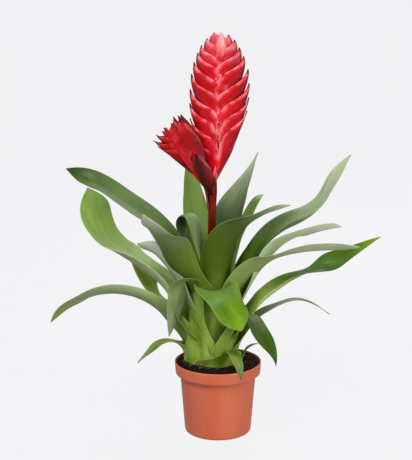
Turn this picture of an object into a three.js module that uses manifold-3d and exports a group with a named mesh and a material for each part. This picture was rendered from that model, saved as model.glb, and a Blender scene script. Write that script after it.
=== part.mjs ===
// Potted bromeliad: a rosette of strap leaves round a flat red flower spike, in a thin nursery pot.
// Millimetres, +Z up, front towards -Y. The origin is the centre of the underside of the pot.
import * as THREE from 'three';
import { mergeVertices } from 'three/addons/utils/BufferGeometryUtils.js';
import Module from 'manifold-3d';

const wasm = await Module();
wasm.setup();

// ---- Driving dimensions -------------------------------------------------------------------

// Round nursery pot with a deep rim band.
const POT_HEIGHT = 100;
const POT_RIM_RADIUS = 60;
const POT_BAND_DEPTH = 16;
const POT_NECK_RADIUS = 52;
const POT_BASE_RADIUS = 46;
const POT_WALL = 1.3;
const POT_SEGMENTS = 40;
const DRAIN_HOLES = 6;
const DRAIN_RADIUS = 4.5;
const DRAIN_CIRCLE = 32;

// Potting mix, level with the rim and mounded up to the lowest leaf feet.
const SOIL_EDGE_Z = 96.5;
const SOIL_MOUND_RADIUS = 47;
const SOIL_MOUND_Z = 103;

// Crown: the short stem that every leaf foot sits on. It stands a little left of the pot's centre.
const CROWN_X = -8;
const CROWN_Y = 2;
const FOOT_RADIUS = 9;
const FOOT_RADIUS_STEP = 1.25;
const FOOT_HEIGHT = 128;
const FOOT_HEIGHT_STEP = 1.05;

// Leaves: a foot wraps SHEATH_WRAP radians each way round the crown, then opens into a strap.
const LEAF_THICKNESS = 0.7;
const LEAF_STATIONS = 10;
const LEAF_STRIPS = 6;
const SHEATH_WRAP = 1.1;
const SHEATH_END = 0.32;
const POINT = 1.8;
const CLEARANCE = 0.36;
// A blade follows the curve of what it wraps up to the first of these distances from the axis,
// and is free of it beyond the second.
const LEAF_FREE = [38, 70];
const STALK_BRACT_FREE = [7, 16];

// Flower stalk.
const STALK_RADIUS = 5.6;
const STALK_TOP = 349.6;

// Flower spike: folded bracts in two flat ranks.
const SPIKE_X = -0.4;
const BRACT_STATIONS = 6;
const BRACT_EDGE = 0.5;
const BRACT_FLARE = 0.23;
const SIDE_FLARE = 0.15;

const GREEN = 0x4f7f22;
const RED = 0xcf1019;

// Leaves from the innermost to the outermost. az is the compass bearing of the foot (0 = +X).
// Along each leaf, pitch is the rise above level, swing the turn away from az, roll the twist
// and cup the half angle of the channel. All of these are degrees at even steps, six or more.
// The strap narrows beyond taper, and point tells how blunt its tip is.
const STILL = [0, 0, 0, 0, 0, 0];
const LEAVES = [
  { az: 164, length: 264, width: 24, taper: 0.68,
    pitch: [88, 84, 80, 78, 74, 70, 72, 150, 242, 258, 258],
    swing: [0, 0, 0, 0, -3, -8, -14, -28, -42, -42, -42], cup: [50, 50, 50, 45, 30, 20] },
  { az: 118, length: 262, width: 48, taper: 0.55, pitch: [90, 81, 72, 74, 78, 82],
    swing: [0, 0, 3, 4, 4, 4], cup: [50, 50, 50, 40, 30, 20] },
  { az: 84, length: 304, width: 47.7, taper: 0.49, pitch: [87, 70, 57, 46, 39, 40],
    swing: [0, -3, -11, -21, -25, -20], roll: [0, 2, 8, 16, -13, -33],
    cup: [50, 50, 50, 41, 21, 18] },
  { az: -64, length: 251, width: 64.1, taper: 0.62, pitch: [87, 86, 83, 61, 28, 8],
    swing: [0, 3, 19, 52, 69, 84], roll: [0, -8, -24, -39, -22, -41],
    cup: [50, 50, 46, 33, 9, 28] },
  { az: 64, length: 241, width: 27.8, taper: 0.64, pitch: [87, 74, 62, 57, 46, -4],
    swing: [0, -5, -13, -17, -5, -1], roll: [0, -1, -8, -22, -18, 23],
    cup: [50, 50, 40, 45, 17, 27] },
  { az: 163, length: 343, width: 48.8, taper: 0.75, pitch: [90, 77, 53, 28, 32, 8],
    swing: [0, -2, -5, -10, -2, -20], roll: [0, 8, 15, -9, -17, -75],
    cup: [50, 50, 60, 44, 44, 16], point: 1.5 },
  { az: 34, length: 348, width: 51.3, taper: 0.63, pitch: [81, 63, 44, 16, 57, 40],
    swing: [0, 1, 2, -2, -9, 2], roll: [0, -6, -12, 1, -8, 26], cup: [50, 50, 40, 69, 9, 36] },
  { az: 230, length: 259, width: 58.7, taper: 0.64, pitch: [90, 78, 56, 62, 28, 49],
    swing: [0, -7, -21, 0, 18, 10], roll: [0, 26, 17, 14, -13, 12],
    cup: [50, 50, 41, 51, 10, 13] },
  { az: 4, length: 258, width: 45.7, taper: 0.81, pitch: [80, 68, 58, 48, 13, -2],
    swing: [0, 5, -2, -28, 4, 32], roll: [0, -3, -2, -5, -28, -32],
    cup: [50, 50, 38, 57, 9, 43] },
  { az: 200, length: 184, width: 40.4, taper: 0.85, pitch: [86, 77, 69, 61, 48, 17],
    swing: [0, -2, -6, -8, -6, 5], roll: [0, -1, 1, 12, 24, 42], cup: [50, 50, 40, 25, 33, 22] },
  { az: -18, length: 282, width: 46.8, taper: 0.68, pitch: [90, 81, 48, 22, 11, 0],
    swing: [0, 1, 3, -11, -6, 23], roll: [0, -21, -36, -8, -24, -46],
    cup: [50, 50, 51, 18, 23, 26] },
  { az: -84, length: 189, width: 59.3, taper: 0.76, pitch: [90, 100, 71, 2, -38, -44],
    swing: [0, -4, -7, 6, 32, 37], roll: [0, -1, -2, 2, -7, 23], cup: [50, 50, 30, 17, 10, 10],
    point: 2.6 },
  { az: 98, length: 240, width: 36, taper: 0.6, pitch: [85, 65, 35, 5, -25, -45],
    cup: [50, 50, 40, 30, 30, 20] },
  { az: 194, length: 281, width: 66.4, taper: 0.78, pitch: [82, 67, 42, 35, 68, 77],
    swing: [0, -16, -18, -23, 0, 4], roll: [0, -28, 1, 3, -38, -75],
    cup: [50, 50, 54, 46, 13, 10], point: 2.6 },
  { az: -4, length: 269, width: 36, taper: 0.48, pitch: [80, 54, 37, 27, 27, 24],
    swing: [0, 8, 4, -4, 9, 8], roll: [0, 7, 14, 2, 95, 97], cup: [50, 50, 70, 20, 17, 23] },
  { az: 72, length: 140, width: 34, taper: 0.6, pitch: [80, 50, 15, -10, -35, -50],
    cup: [50, 50, 40, 30, 30, 20] },
  { az: 146, length: 189, width: 49.4, taper: 0.6, pitch: [73, 46, 34, 58, 60, 48],
    swing: [0, 9, 14, -6, -7, 3], roll: [0, 4, 15, 20, -19, -33], cup: [50, 50, 38, 29, 72, 26] },
  { az: 226, length: 206, width: 31.4, taper: 0.6,
    pitch: [84, 88, 88, 88, 88, 88, 81, -6, -76, -77, -77, -77, -77],
    swing: [0, 1, 5, 10, 15, 20, 19, -21, -56, -56, -56, -56, -56],
    roll: [0, -2, -6, -12, -19, -25, -25, 16, 51, 51, 51, 51, 51], cup: [50, 50, 45, 40, 30, 22],
    point: 2.2 },
  { az: 186, length: 247, width: 40.9, taper: 0.7, pitch: [76, 54, 32, 2, -25, -52],
    swing: [0, 5, 5, -2, -4, -15], roll: [0, 28, 27, 27, 29, 38], cup: [50, 50, 56, 52, 10, 31] },
  { az: 10, length: 181, width: 23.4, taper: 0.35, pitch: [83, 55, 26, 12, -25, -40],
    swing: [0, 3, 7, 10, 7, 5], roll: [0, 3, 1, -13, 2, 0], cup: [50, 50, 35, 39, 32, 19] },
  { az: -40, length: 168, width: 32.9, taper: 0.6, pitch: [90, 83, 36, -25, -43, -82],
    swing: [0, 0, -7, -27, -1, 10], roll: [0, 1, 1, -23, 14, 5], cup: [50, 50, 36, 27, 10, 27] },
  { az: 104, length: 125, width: 30, taper: 0.6, pitch: [75, 45, 10, -15, -40, -55],
    cup: [50, 50, 40, 30, 30, 20] },
  { az: 222, length: 62, width: 56, taper: 0.2, pitch: [88, 91, 91, 91, 91, 91],
    cup: [50, 50, 50, 50, 50, 50] },
  { az: 172, length: 90, width: 20.9, taper: 0.61, pitch: [90, 45, -9, -36, -43, -44],
    swing: [0, 5, 6, 8, 4, 0], roll: [0, 13, 3, -15, -11, -1], cup: [50, 50, 37, 27, 16, 18] },
  { az: -66, length: 88, width: 16.7, taper: 0.62, pitch: [79, 56, 19, -22, -58, -93],
    swing: [0, -3, -5, -2, 4, 0], roll: [0, 9, -2, -9, -3, -5], cup: [50, 50, 33, 23, 22, 21] },
  { az: -3, length: 36, width: 14, taper: 0.3, pitch: [80, 74, 60, 40, 20, 5],
    cup: [50, 50, 40, 40, 40, 40] },
];

// Two dry-edged bracts on the stalk, wrapped like the leaves but round the stalk.
const STALK_BRACTS = [
  { at: [-7.3, 2], foot: [6.5, 334], wrap: 0.8, az: 240, length: 65, width: 31, taper: 0.3,
    pitch: [44, 58, 62, 66, 72, 78], swing: [0, -6, -14, -22, -26, -26],
    roll: [0, 10, 24, 36, 44, 50], cup: [60, 60, 56, 50, 45, 40], point: 2.6 },
  { at: [-8.5, 2], foot: [6.6, 312], az: 163, length: 66, width: 15, taper: 0.3,
    pitch: [88, 84, 74, 66, 58, 50], cup: [60, 60, 50, 45, 40, 30] },
];

// Bracts of the main spike as [reach from the centre line, height of the tip, length].
const RIGHT_BRACTS = [
  [26.5, 412, 62], [38.6, 444.5, 93], [41, 462, 96], [41.2, 480.4, 93], [39.6, 498.7, 83],
  [33.4, 515.7, 78], [27.6, 526.9, 70], [21, 537, 60], [13, 543.6, 52], [5.5, 547, 42],
];
const LEFT_BRACTS = [
  [31, 412, 62], [37.8, 434.7, 83], [38, 454.3, 92], [37.4, 472.6, 92], [35.6, 492.7, 84],
  [32, 508, 80], [27, 520.4, 72], [22, 530, 64], [14.5, 539, 55], [5, 546.4, 46],
];

// Bracts of the side spike in its own upright frame; the outward side is +1 or -1.
const SIDE_BRACTS = [
  [-1, 23, 92, 80], [-1, 22.6, 101.5, 86], [-1, 15.6, 106, 78], [-1, 6.4, 106, 66], [-1, 2.4, 108, 60],
  [1, 28, 110, 92], [1, 24.6, 111, 85], [1, 18.7, 113.5, 77], [1, 11.2, 107.8, 62],
];
const SIDE_BASE = new THREE.Vector3(-11, -3.5, 336);
const SIDE_LEAN = 34;
const SIDE_FORWARD = 7;
// Its own short stem, as [distance along the side spike, offset across, offset in depth, radius].
const SIDE_STEM = [[8, 4.4, 3.3, 1.2], [11, 3.4, 2.4, 2], [20, 1, 0.6, 2.3], [40, 0, 0, 1.4]];

// ---- Shapes -------------------------------------------------------------------------------

const DEG = Math.PI / 180;

const clamp01 = (x) => Math.min(Math.max(x, 0), 1);

const smooth = (a, b, x) => {
  const u = clamp01((x - a) / (b - a));
  return u * u * (3 - 2 * u);
};

// A smooth curve through evenly spaced values, read at t from 0 to 1.
function along(values, t) {
  const last = values.length - 1;
  const x = clamp01(t) * last;
  const i = Math.min(Math.floor(x), last - 1);
  const u = x - i;
  const p0 = values[Math.max(i - 1, 0)];
  const p1 = values[i];
  const p2 = values[i + 1];
  const p3 = values[Math.min(i + 2, last)];
  const square = (2 * p0 - 5 * p1 + 4 * p2 - p3) * u * u;
  const cube = (3 * p1 - p0 - 3 * p2 + p3) * u * u * u;
  return 0.5 * (2 * p1 + (p2 - p0) * u + square + cube);
}

// A closed body through equal rings of points, capped at both ends.
function loft(rings) {
  const n = rings[0].length;
  const index = [];
  const last = (rings.length - 1) * n;
  for (let i = 0; i + 1 < rings.length; i += 1) {
    for (let j = 0; j < n; j += 1) {
      const a = i * n + j;
      const b = i * n + ((j + 1) % n);
      index.push(a, b, b + n, a, b + n, a + n);
    }
  }
  for (let j = 1; j + 1 < n; j += 1) {
    index.push(0, j + 1, j, last, last + j, last + j + 1);
  }
  const points = new THREE.BufferGeometry().setFromPoints(rings.flat());
  points.setIndex(index);
  return points;
}

// A thin sheet between two equal grids of points, closed all round.
function sheet(upper, lower) {
  const rows = upper.length;
  const cols = upper[0].length;
  const half = rows * cols;
  const index = [];
  const quad = (a, b, c, d) => index.push(a, b, c, a, c, d);
  for (let i = 0; i + 1 < rows; i += 1) {
    for (let j = 0; j + 1 < cols; j += 1) {
      const a = i * cols + j;
      quad(a, a + cols, a + cols + 1, a + 1);
      quad(half + a, half + a + 1, half + a + cols + 1, half + a + cols);
    }
    const l = i * cols;
    const r = l + cols - 1;
    quad(l, half + l, half + l + cols, l + cols);
    quad(r, r + cols, half + r + cols, half + r);
  }
  for (let j = 0; j + 1 < cols; j += 1) {
    const tip = (rows - 1) * cols + j;
    quad(j, j + 1, half + j + 1, half + j);
    quad(tip, half + tip, half + tip + 1, tip + 1);
  }
  const points = new THREE.BufferGeometry().setFromPoints([...upper.flat(), ...lower.flat()]);
  points.setIndex(index);
  return points;
}

// A leaf or stalk bract round an upright axis at the origin, its midrib starting at bearing az.
// grow makes a slightly larger copy of the same body, for cutting clearances.
function leafGeometry(spec, grow = 0) {
  const { az, length, width, taper, pitch, cup, foot } = spec;
  const swing = spec.swing ?? STILL;
  const roll = spec.roll ?? STILL;
  const free = spec.free ?? LEAF_FREE;
  const turn = spec.wrap ?? SHEATH_WRAP;
  const steps = LEAF_STATIONS * 4;
  const point = new THREE.Vector3(foot[0] * Math.cos(az * DEG), foot[0] * Math.sin(az * DEG), foot[1]);
  const upper = [];
  const lower = [];
  const heading = (t) => {
    const e = along(pitch, t) * DEG;
    const h = (az + along(swing, t)) * DEG;
    return new THREE.Vector3(Math.cos(e) * Math.cos(h), Math.cos(e) * Math.sin(h), Math.sin(e));
  };
  for (let k = 0; k <= steps; k += 1) {
    const t = k / steps;
    if (k > 0) {
      point.addScaledVector(heading((k - 0.5) / steps), length / steps);
    }
    if (k % 4 === 0) {
      const forward = heading(t);
      const h = (az + along(swing, t)) * DEG;
      const r = along(roll, t) * DEG;
      const level = new THREE.Vector3(-Math.sin(h), Math.cos(h), 0);
      const face = new THREE.Vector3().crossVectors(forward, level);
      const side = level.clone().multiplyScalar(Math.cos(r)).addScaledVector(face, Math.sin(r));
      face.multiplyScalar(Math.cos(r)).addScaledVector(level, -Math.sin(r));
      const out = Math.hypot(point.x, point.y);
      const reach = smooth(free[0], free[1], out);
      const wrap = foot[0] * turn;
      const tapered = 1 - Math.pow(clamp01((t - taper) / (1 - taper)), spec.point ?? POINT);
      let w = (wrap + (width / 2 - wrap) * smooth(0, SHEATH_END, t)) * tapered;
      w = reach < 1 ? Math.min(w, out * turn * 1.05 + reach * 30) : w;
      w = Math.max(w, 0.25) + grow;
      const cupAngle = along(cup, t) * DEG;
      const radius = out * (1 - reach) + (reach * w) / cupAngle;
      const half = (LEAF_THICKNESS / 2) * (1 - 0.4 * t) + grow;
      const over = k === 0 ? -grow : 0;
      const beyond = k === steps ? grow : over;
      const rowUp = [];
      const rowDown = [];
      for (let j = 0; j <= LEAF_STRIPS; j += 1) {
        const a = (w / radius) * ((2 * j) / LEAF_STRIPS - 1);
        const p = point.clone().addScaledVector(side, radius * Math.sin(a));
        p.addScaledVector(face, radius * (1 - Math.cos(a))).addScaledVector(forward, beyond);
        const normal = side.clone().multiplyScalar(-Math.sin(a)).addScaledVector(face, Math.cos(a));
        rowUp.push(p.clone().addScaledVector(normal, half));
        rowDown.push(p.clone().addScaledVector(normal, -half));
      }
      upper.push(rowUp);
      lower.push(rowDown);
    }
  }
  return sheet(upper, lower);
}

// One folded bract in the XZ plane: a wedge that is thin at its outer keel and thicker towards
// the centre line. dir is +1 for the right rank and -1 for the left one.
function bractGeometry(dir, reach, tip, length, grow = 0, flare = BRACT_FLARE) {
  const start = tip - length;
  const drop = Math.min(23, length * 0.32);
  const inner = 0.4 - grow;
  const bulge = reach * (0.9 + 0.15 * smooth(440, 540, tip));
  const bend = (a, b, c, t) => a * (1 - t) * (1 - t) + 2 * b * t * (1 - t) + c * t * t;
  const rings = [];
  for (let i = 0; i <= BRACT_STATIONS; i += 1) {
    const s = i / BRACT_STATIONS;
    const keel = [
      bend(0.4, bulge, reach, s) + grow * Math.min(1, 6 * s),
      bend(start, tip - length * 0.33, tip, s) - grow * 1.5 * (1 - s),
    ];
    const m = clamp01((s - 0.42) / 0.58);
    const level = tip - drop;
    const climb = start + 2.5 + (level - start - 2.5) * clamp01(s / 0.42);
    const margin = [
      bend(inner, reach * 0.85, reach - 0.9, m),
      (m > 0 ? bend(level, tip - 7 * (drop / 23), tip + 0.3, m) : climb) + grow,
    ];
    const span = Math.hypot(margin[0] - keel[0], margin[1] - keel[1]);
    const thin = BRACT_EDGE + grow;
    const ring = [];
    const put = (q, y) => {
      const x = dir * (keel[0] + (margin[0] - keel[0]) * q);
      ring.push(new THREE.Vector3(x, y, keel[1] + (margin[1] - keel[1]) * q));
    };
    put(0, -thin);
    put(0.45, -thin - span * flare * 0.52);
    put(1, -thin - span * flare);
    put(1, thin + span * flare);
    put(0.45, thin + span * flare * 0.52);
    put(0, thin);
    rings.push(dir > 0 ? ring.reverse() : ring);
  }
  return loft(rings);
}

// ---- Joining and cutting ------------------------------------------------------------------

function toSolid(geometry) {
  const bare = geometry.clone();
  bare.deleteAttribute('normal');
  bare.deleteAttribute('uv');
  const merged = mergeVertices(bare, 1e-4);
  const mesh = new wasm.Mesh({
    numProp: 3,
    vertProperties: new Float32Array(merged.attributes.position.array),
    triVerts: new Uint32Array(merged.index.array),
  });
  return new wasm.Manifold(mesh);
}

function toGeometry(solid) {
  const mesh = solid.getMesh();
  const geometry = new THREE.BufferGeometry();
  const count = mesh.vertProperties.length / mesh.numProp;
  const positions = new Float32Array(count * 3);
  for (let i = 0; i < count; i += 1) {
    for (let k = 0; k < 3; k += 1) {
      positions[i * 3 + k] = mesh.vertProperties[i * mesh.numProp + k];
    }
  }
  geometry.setAttribute('position', new THREE.BufferAttribute(positions, 3));
  geometry.setIndex(Array.from(mesh.triVerts));
  return geometry;
}

// The largest connected piece of a cut body.
function largest(solid) {
  const pieces = solid.decompose();
  return pieces.reduce((best, piece) => (piece.volume() > best.volume() ? piece : best));
}

function makeMesh(name, geometry, color, roughness) {
  const plain = geometry.index ? geometry.toNonIndexed() : geometry;
  plain.computeVertexNormals();
  const material = new THREE.MeshStandardMaterial({ color, roughness, metalness: 0 });
  const mesh = new THREE.Mesh(plain, material);
  mesh.name = name;
  return mesh;
}

const plant = new THREE.Group();

// ---- Pot ----------------------------------------------------------------------------------

const bandZ = POT_HEIGHT - POT_BAND_DEPTH;
const profile = (points) => points.map(([r, z]) => new THREE.Vector2(r, z));

// A body of revolution about +Z from a profile of radius and height.
function turned(points, segments) {
  const geometry = new THREE.LatheGeometry(profile(points), segments);
  geometry.rotateX(Math.PI / 2);
  return geometry;
}

const potShell = turned([
  [0, 0], [POT_BASE_RADIUS - 4, 0], [POT_BASE_RADIUS - 1, 1.2], [POT_BASE_RADIUS, 4],
  [POT_NECK_RADIUS, bandZ - 4], [POT_RIM_RADIUS - 1.6, bandZ], [POT_RIM_RADIUS - 0.4, POT_HEIGHT - 1],
  [POT_RIM_RADIUS - 1, POT_HEIGHT], [POT_RIM_RADIUS - 2.2, POT_HEIGHT],
  [POT_RIM_RADIUS - 1.6 - POT_WALL, bandZ + 1], [POT_NECK_RADIUS - POT_WALL, bandZ - 3],
  [POT_BASE_RADIUS - POT_WALL, 4.4], [POT_BASE_RADIUS - 5, 2], [0, 2],
], POT_SEGMENTS);
let pot = toSolid(potShell);
for (let i = 0; i < DRAIN_HOLES; i += 1) {
  const hole = new THREE.CylinderGeometry(DRAIN_RADIUS, DRAIN_RADIUS, 8, 10);
  hole.rotateX(Math.PI / 2);
  const a = ((i + 0.5) / DRAIN_HOLES) * 2 * Math.PI;
  hole.translate(DRAIN_CIRCLE * Math.cos(a), DRAIN_CIRCLE * Math.sin(a), 1);
  pot = pot.subtract(toSolid(hole));
}
plant.add(makeMesh('pot', toGeometry(pot), 0xc4674a, 0.5));

// ---- Crown and soil -----------------------------------------------------------------------

// A leaf's foot as [distance from the crown's axis, height].
const footOf = (rank) => [
  FOOT_RADIUS + FOOT_RADIUS_STEP * rank,
  FOOT_HEIGHT - FOOT_HEIGHT_STEP * rank,
];

// The crown's shoulder runs just under the feet of all the leaves.
const crownShape = (grow) => {
  const top = footOf(0);
  const low = footOf(LEAVES.length + 0.8);
  const geometry = turned([
    [0, 84 - grow], [16 + grow, 86 - grow], [30 + grow, 92 - grow], [low[0] + grow, low[1] - 1.4],
    [top[0] + grow, top[1] - 0.7 + grow], [0, top[1] - 0.2 + grow],
  ], 28);
  geometry.translate(CROWN_X, CROWN_Y, 0);
  return geometry;
};
plant.add(makeMesh('crown', crownShape(0), 0x8f8a4a, 0.8));

const soilInside = (inset) => [
  [0, 2.4], [POT_BASE_RADIUS - 5.4, 2.4], [POT_BASE_RADIUS - POT_WALL - inset, 4.9],
  [POT_NECK_RADIUS - POT_WALL - inset, bandZ - 3], [POT_RIM_RADIUS - 1.6 - POT_WALL - inset, bandZ + 1],
  [POT_RIM_RADIUS - 2.4 - inset, SOIL_EDGE_Z - 0.6], [POT_RIM_RADIUS - 5, SOIL_EDGE_Z + 0.5],
  [POT_RIM_RADIUS - 11, SOIL_EDGE_Z + 1.5], [0, SOIL_EDGE_Z + 1.8],
];
const mound = turned([
  [0, 90], [SOIL_MOUND_RADIUS - 4, 90], [SOIL_MOUND_RADIUS, SOIL_EDGE_Z + 1],
  [SOIL_MOUND_RADIUS - 4, SOIL_MOUND_Z - 1.2], [SOIL_MOUND_RADIUS - 9, SOIL_MOUND_Z], [0, SOIL_MOUND_Z],
], 32);
mound.translate(CROWN_X, CROWN_Y, 0);
let soil = toSolid(turned(soilInside(0.4), POT_SEGMENTS)).add(toSolid(mound));
soil = soil.subtract(toSolid(crownShape(0.35)));

// ---- Leaves -------------------------------------------------------------------------------

// Each leaf is cut back where the margin of an outer leaf crosses it, so that they only touch.
const rosette = new THREE.Group();
rosette.position.set(CROWN_X, CROWN_Y, 0);
plant.add(rosette);

const cutters = [];
const leafMeshes = [];
for (let rank = LEAVES.length; rank >= 1; rank -= 1) {
  const spec = { ...LEAVES[rank - 1], foot: footOf(rank) };
  let solid = toSolid(leafGeometry(spec));
  for (const cutter of cutters) {
    if (solid.intersect(cutter).volume() > 0.001) {
      solid = largest(solid.subtract(cutter));
    }
  }
  cutters.push(toSolid(leafGeometry(spec, CLEARANCE)).add(toSolid(leafGeometry(spec))));
  const name = `leaf_${String(rank).padStart(2, '0')}`;
  const geometry = toGeometry(solid);
  geometry.rotateZ(-spec.az * DEG);
  const mesh = makeMesh(name, geometry, GREEN, 0.42);
  mesh.rotation.z = spec.az * DEG;
  leafMeshes.unshift(mesh);
}
rosette.add(...leafMeshes);

// The lowest leaf feet are bedded in the mix.
for (const cutter of cutters) {
  const geometry = toGeometry(cutter);
  geometry.translate(CROWN_X, CROWN_Y, 0);
  soil = soil.subtract(toSolid(geometry));
}
plant.add(makeMesh('soil', toGeometry(largest(soil)), 0x1d1310, 0.95));

// ---- Flower stalk -------------------------------------------------------------------------

const stalkRings = [];
const stalkPath = new THREE.CatmullRomCurve3([
  new THREE.Vector3(-8, 2, 128.3), new THREE.Vector3(-8.2, 2, 200), new THREE.Vector3(-8.6, 2, 270),
  new THREE.Vector3(-8.2, 2, 325), new THREE.Vector3(-5.4, 2, 340), new THREE.Vector3(-2.6, 2, STALK_TOP),
]);
for (let i = 0; i <= 12; i += 1) {
  const centre = stalkPath.getPointAt(i / 12);
  const radius = STALK_RADIUS * (centre.z > 345 ? 0.9 : 1);
  const ring = [];
  for (let j = 0; j < 12; j += 1) {
    const a = (j / 12) * 2 * Math.PI;
    ring.push(new THREE.Vector3(centre.x + radius * Math.cos(a), centre.y + radius * Math.sin(a), centre.z));
  }
  stalkRings.push(ring);
}
const stalk = toSolid(loft(stalkRings));
plant.add(makeMesh('flower_stalk', toGeometry(stalk), 0x7a1216, 0.5));

// ---- Main spike ---------------------------------------------------------------------------

// Bracts are made from the top down. Each is hollowed by the ones that stand inside it.
const spike = new THREE.Group();
spike.position.set(SPIKE_X, CROWN_Y, 0);
plant.add(spike);

function addRank(bracts, dir, label) {
  const inside = [];
  for (let i = bracts.length - 1; i >= 0; i -= 1) {
    let solid = toSolid(bractGeometry(dir, ...bracts[i]));
    for (const cutter of inside) {
      solid = largest(solid.subtract(cutter));
    }
    inside.push(toSolid(bractGeometry(dir, ...bracts[i], CLEARANCE)));
    const name = `bract_${label}_${String(i + 1).padStart(2, '0')}`;
    spike.add(makeMesh(name, toGeometry(solid), RED, 0.4));
  }
}
addRank(RIGHT_BRACTS, 1, 'right');
addRank(LEFT_BRACTS, -1, 'left');

// ---- Side spike and stalk bracts ----------------------------------------------------------

const stemRings = SIDE_STEM.map(([z, x, y, radius]) => {
  const ring = [];
  for (let j = 0; j < 8; j += 1) {
    const a = (j / 8) * 2 * Math.PI;
    ring.push(new THREE.Vector3(x + radius * Math.cos(a), y + radius * Math.sin(a), z));
  }
  return ring;
});
let side = toSolid(loft(stemRings));
for (const [dir, reach, tip, length] of SIDE_BRACTS) {
  const geometry = bractGeometry(dir, reach, tip, length, 0, SIDE_FLARE);
  geometry.translate(-dir * 0.8, 0, 0);
  side = side.add(toSolid(geometry));
}
const sideMesh = makeMesh('side_spike', new THREE.BufferGeometry(), 0xb8101a, 0.4);
sideMesh.position.copy(SIDE_BASE);
sideMesh.rotation.set(SIDE_FORWARD * DEG, -SIDE_LEAN * DEG, 0, 'YXZ');
sideMesh.updateMatrixWorld();
const intoSide = sideMesh.matrixWorld.clone().invert();
plant.add(sideMesh);

// The side spike stands in the hollow of the bract below it.
STALK_BRACTS.forEach((spec, i) => {
  const wrapped = { ...spec, free: STALK_BRACT_FREE };
  const bract = makeMesh(`stalk_bract_${i + 1}`, leafGeometry(wrapped), 0x7d1018, 0.5);
  bract.position.set(spec.at[0], spec.at[1], 0);
  bract.updateMatrixWorld();
  plant.add(bract);
  const cutter = leafGeometry(wrapped, CLEARANCE);
  cutter.applyMatrix4(bract.matrixWorld).applyMatrix4(intoSide);
  side = side.subtract(toSolid(cutter));
});
sideMesh.geometry = toGeometry(largest(side)).toNonIndexed();
sideMesh.geometry.computeVertexNormals();

export default plant;
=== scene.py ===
# %% [markdown]
# # A potted bromeliad
# The real plant is a rosette of strap leaves that wrap one short crown, with a flat flower spike of
# folded red bracts standing on a stalk out of its middle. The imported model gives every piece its
# true size and place as a coarse solid. Here each living piece is made again as a fine mesh in the
# same place, because leaves and bracts are smooth, thin and softly curved.

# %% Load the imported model
import math
import random
import bmesh
import bpy
from mathutils import Matrix, Vector, noise


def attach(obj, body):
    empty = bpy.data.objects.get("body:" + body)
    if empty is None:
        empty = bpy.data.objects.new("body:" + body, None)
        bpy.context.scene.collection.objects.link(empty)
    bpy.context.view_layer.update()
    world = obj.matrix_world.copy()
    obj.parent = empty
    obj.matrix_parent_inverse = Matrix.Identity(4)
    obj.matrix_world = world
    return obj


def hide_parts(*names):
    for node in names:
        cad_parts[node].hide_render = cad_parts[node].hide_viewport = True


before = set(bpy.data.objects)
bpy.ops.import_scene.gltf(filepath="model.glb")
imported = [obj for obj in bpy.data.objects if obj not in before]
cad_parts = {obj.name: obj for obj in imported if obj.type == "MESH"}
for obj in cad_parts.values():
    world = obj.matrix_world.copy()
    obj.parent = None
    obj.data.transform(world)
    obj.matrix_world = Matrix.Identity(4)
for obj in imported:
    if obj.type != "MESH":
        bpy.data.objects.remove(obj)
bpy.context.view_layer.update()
MM = 0.001

# %% [markdown]
# ## The camera
# The photograph was taken from about a metre and a half away with a long lens, from a little above
# the plant. The pot's rim and base show how far the view looks down: their ellipses fit a camera
# pitched 12.3 degrees below level. A camera made as data and an object, not by an operator, does
# the same in the background as in the editor.

# %% The camera at the photograph's angle
CAMERA_PLACE = (-0.0165, -1.5, 0.611)
CAMERA_PITCH = 12.3
LENS_MM = 89.3
camera = bpy.data.objects.new("camera", bpy.data.cameras.new("camera"))
camera.data.lens = LENS_MM
camera.location = CAMERA_PLACE
camera.rotation_euler = (math.radians(90 - CAMERA_PITCH), 0, 0)
bpy.context.scene.collection.objects.link(camera)
bpy.context.scene.camera = camera
print("camera looks down by", CAMERA_PITCH, "degrees through a", LENS_MM, "mm lens")

# %% [markdown]
# ## Small tools
# Every finish below is a node tree, so one function adds a node with its settings and links, and gives
# back the output that the next node needs. Colours are picked as sRGB hex values, as a colour picker
# gives them, but shader sockets want linear light, so one function converts them. Most finishes are
# patches of two or three shades, or one colour laid over another, more in some places than in others.
# Both come again and again, so each has a function.


# %% Colour and node helpers
def linear(hex_colour):
    """An sRGB hex colour such as "#4f7d1f" as linear RGBA."""
    channels = [int(hex_colour[i : i + 2], 16) / 255 for i in (1, 3, 5)]
    return [c / 12.92 if c <= 0.04045 else ((c + 0.055) / 1.055) ** 2.4 for c in channels] + [1.0]


def feed(tree, node, links):
    """Feeds each named socket of a node from another's output, or sets it to a number or hex colour."""
    for socket, source in links.items():
        if isinstance(source, bpy.types.NodeSocket):
            tree.links.new(source, node.inputs[socket])
        else:
            node.inputs[socket].default_value = linear(source) if isinstance(source, str) else source


MIXED = 2  # a Mix node's colour output. Its colour inputs are 6 and 7, and its factor is 0


def add(tree, kind, out, links=None, stops=(), **settings):
    """Adds a node with its links, and gives back its output out.

    stops are a colour ramp's positions and hex colours. settings are the node's properties, or socket
    values with _ for each space.
    """
    made = tree.nodes.new("ShaderNode" + kind)
    for key, value in settings.items():
        if hasattr(made, key):
            setattr(made, key, value)
        else:
            made.inputs[key.replace("_", " ")].default_value = value
    feed(tree, made, links or {})
    while stops and len(made.color_ramp.elements) < len(stops):
        made.color_ramp.elements.new(0.5)
    for index, (position, colour) in enumerate(stops):
        made.color_ramp.elements[index].position = position
        made.color_ramp.elements[index].color = linear(colour)
    return made.outputs[out]


def layer(tree, base, top, measure, low, high, least, most, times=1.0):
    """Lays top over base: least of it where measure reads low, most where high, all of it by times."""
    amount = add(
        tree, "MapRange", "Result", {"Value": measure},
        From_Min=low, From_Max=high, To_Min=least, To_Max=most,
    )
    amount = add(tree, "Math", 0, {0: amount, 1: times}, operation="MULTIPLY")
    return add(tree, "Mix", MIXED, {0: amount, 6: base, 7: top}, data_type="RGBA")


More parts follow.
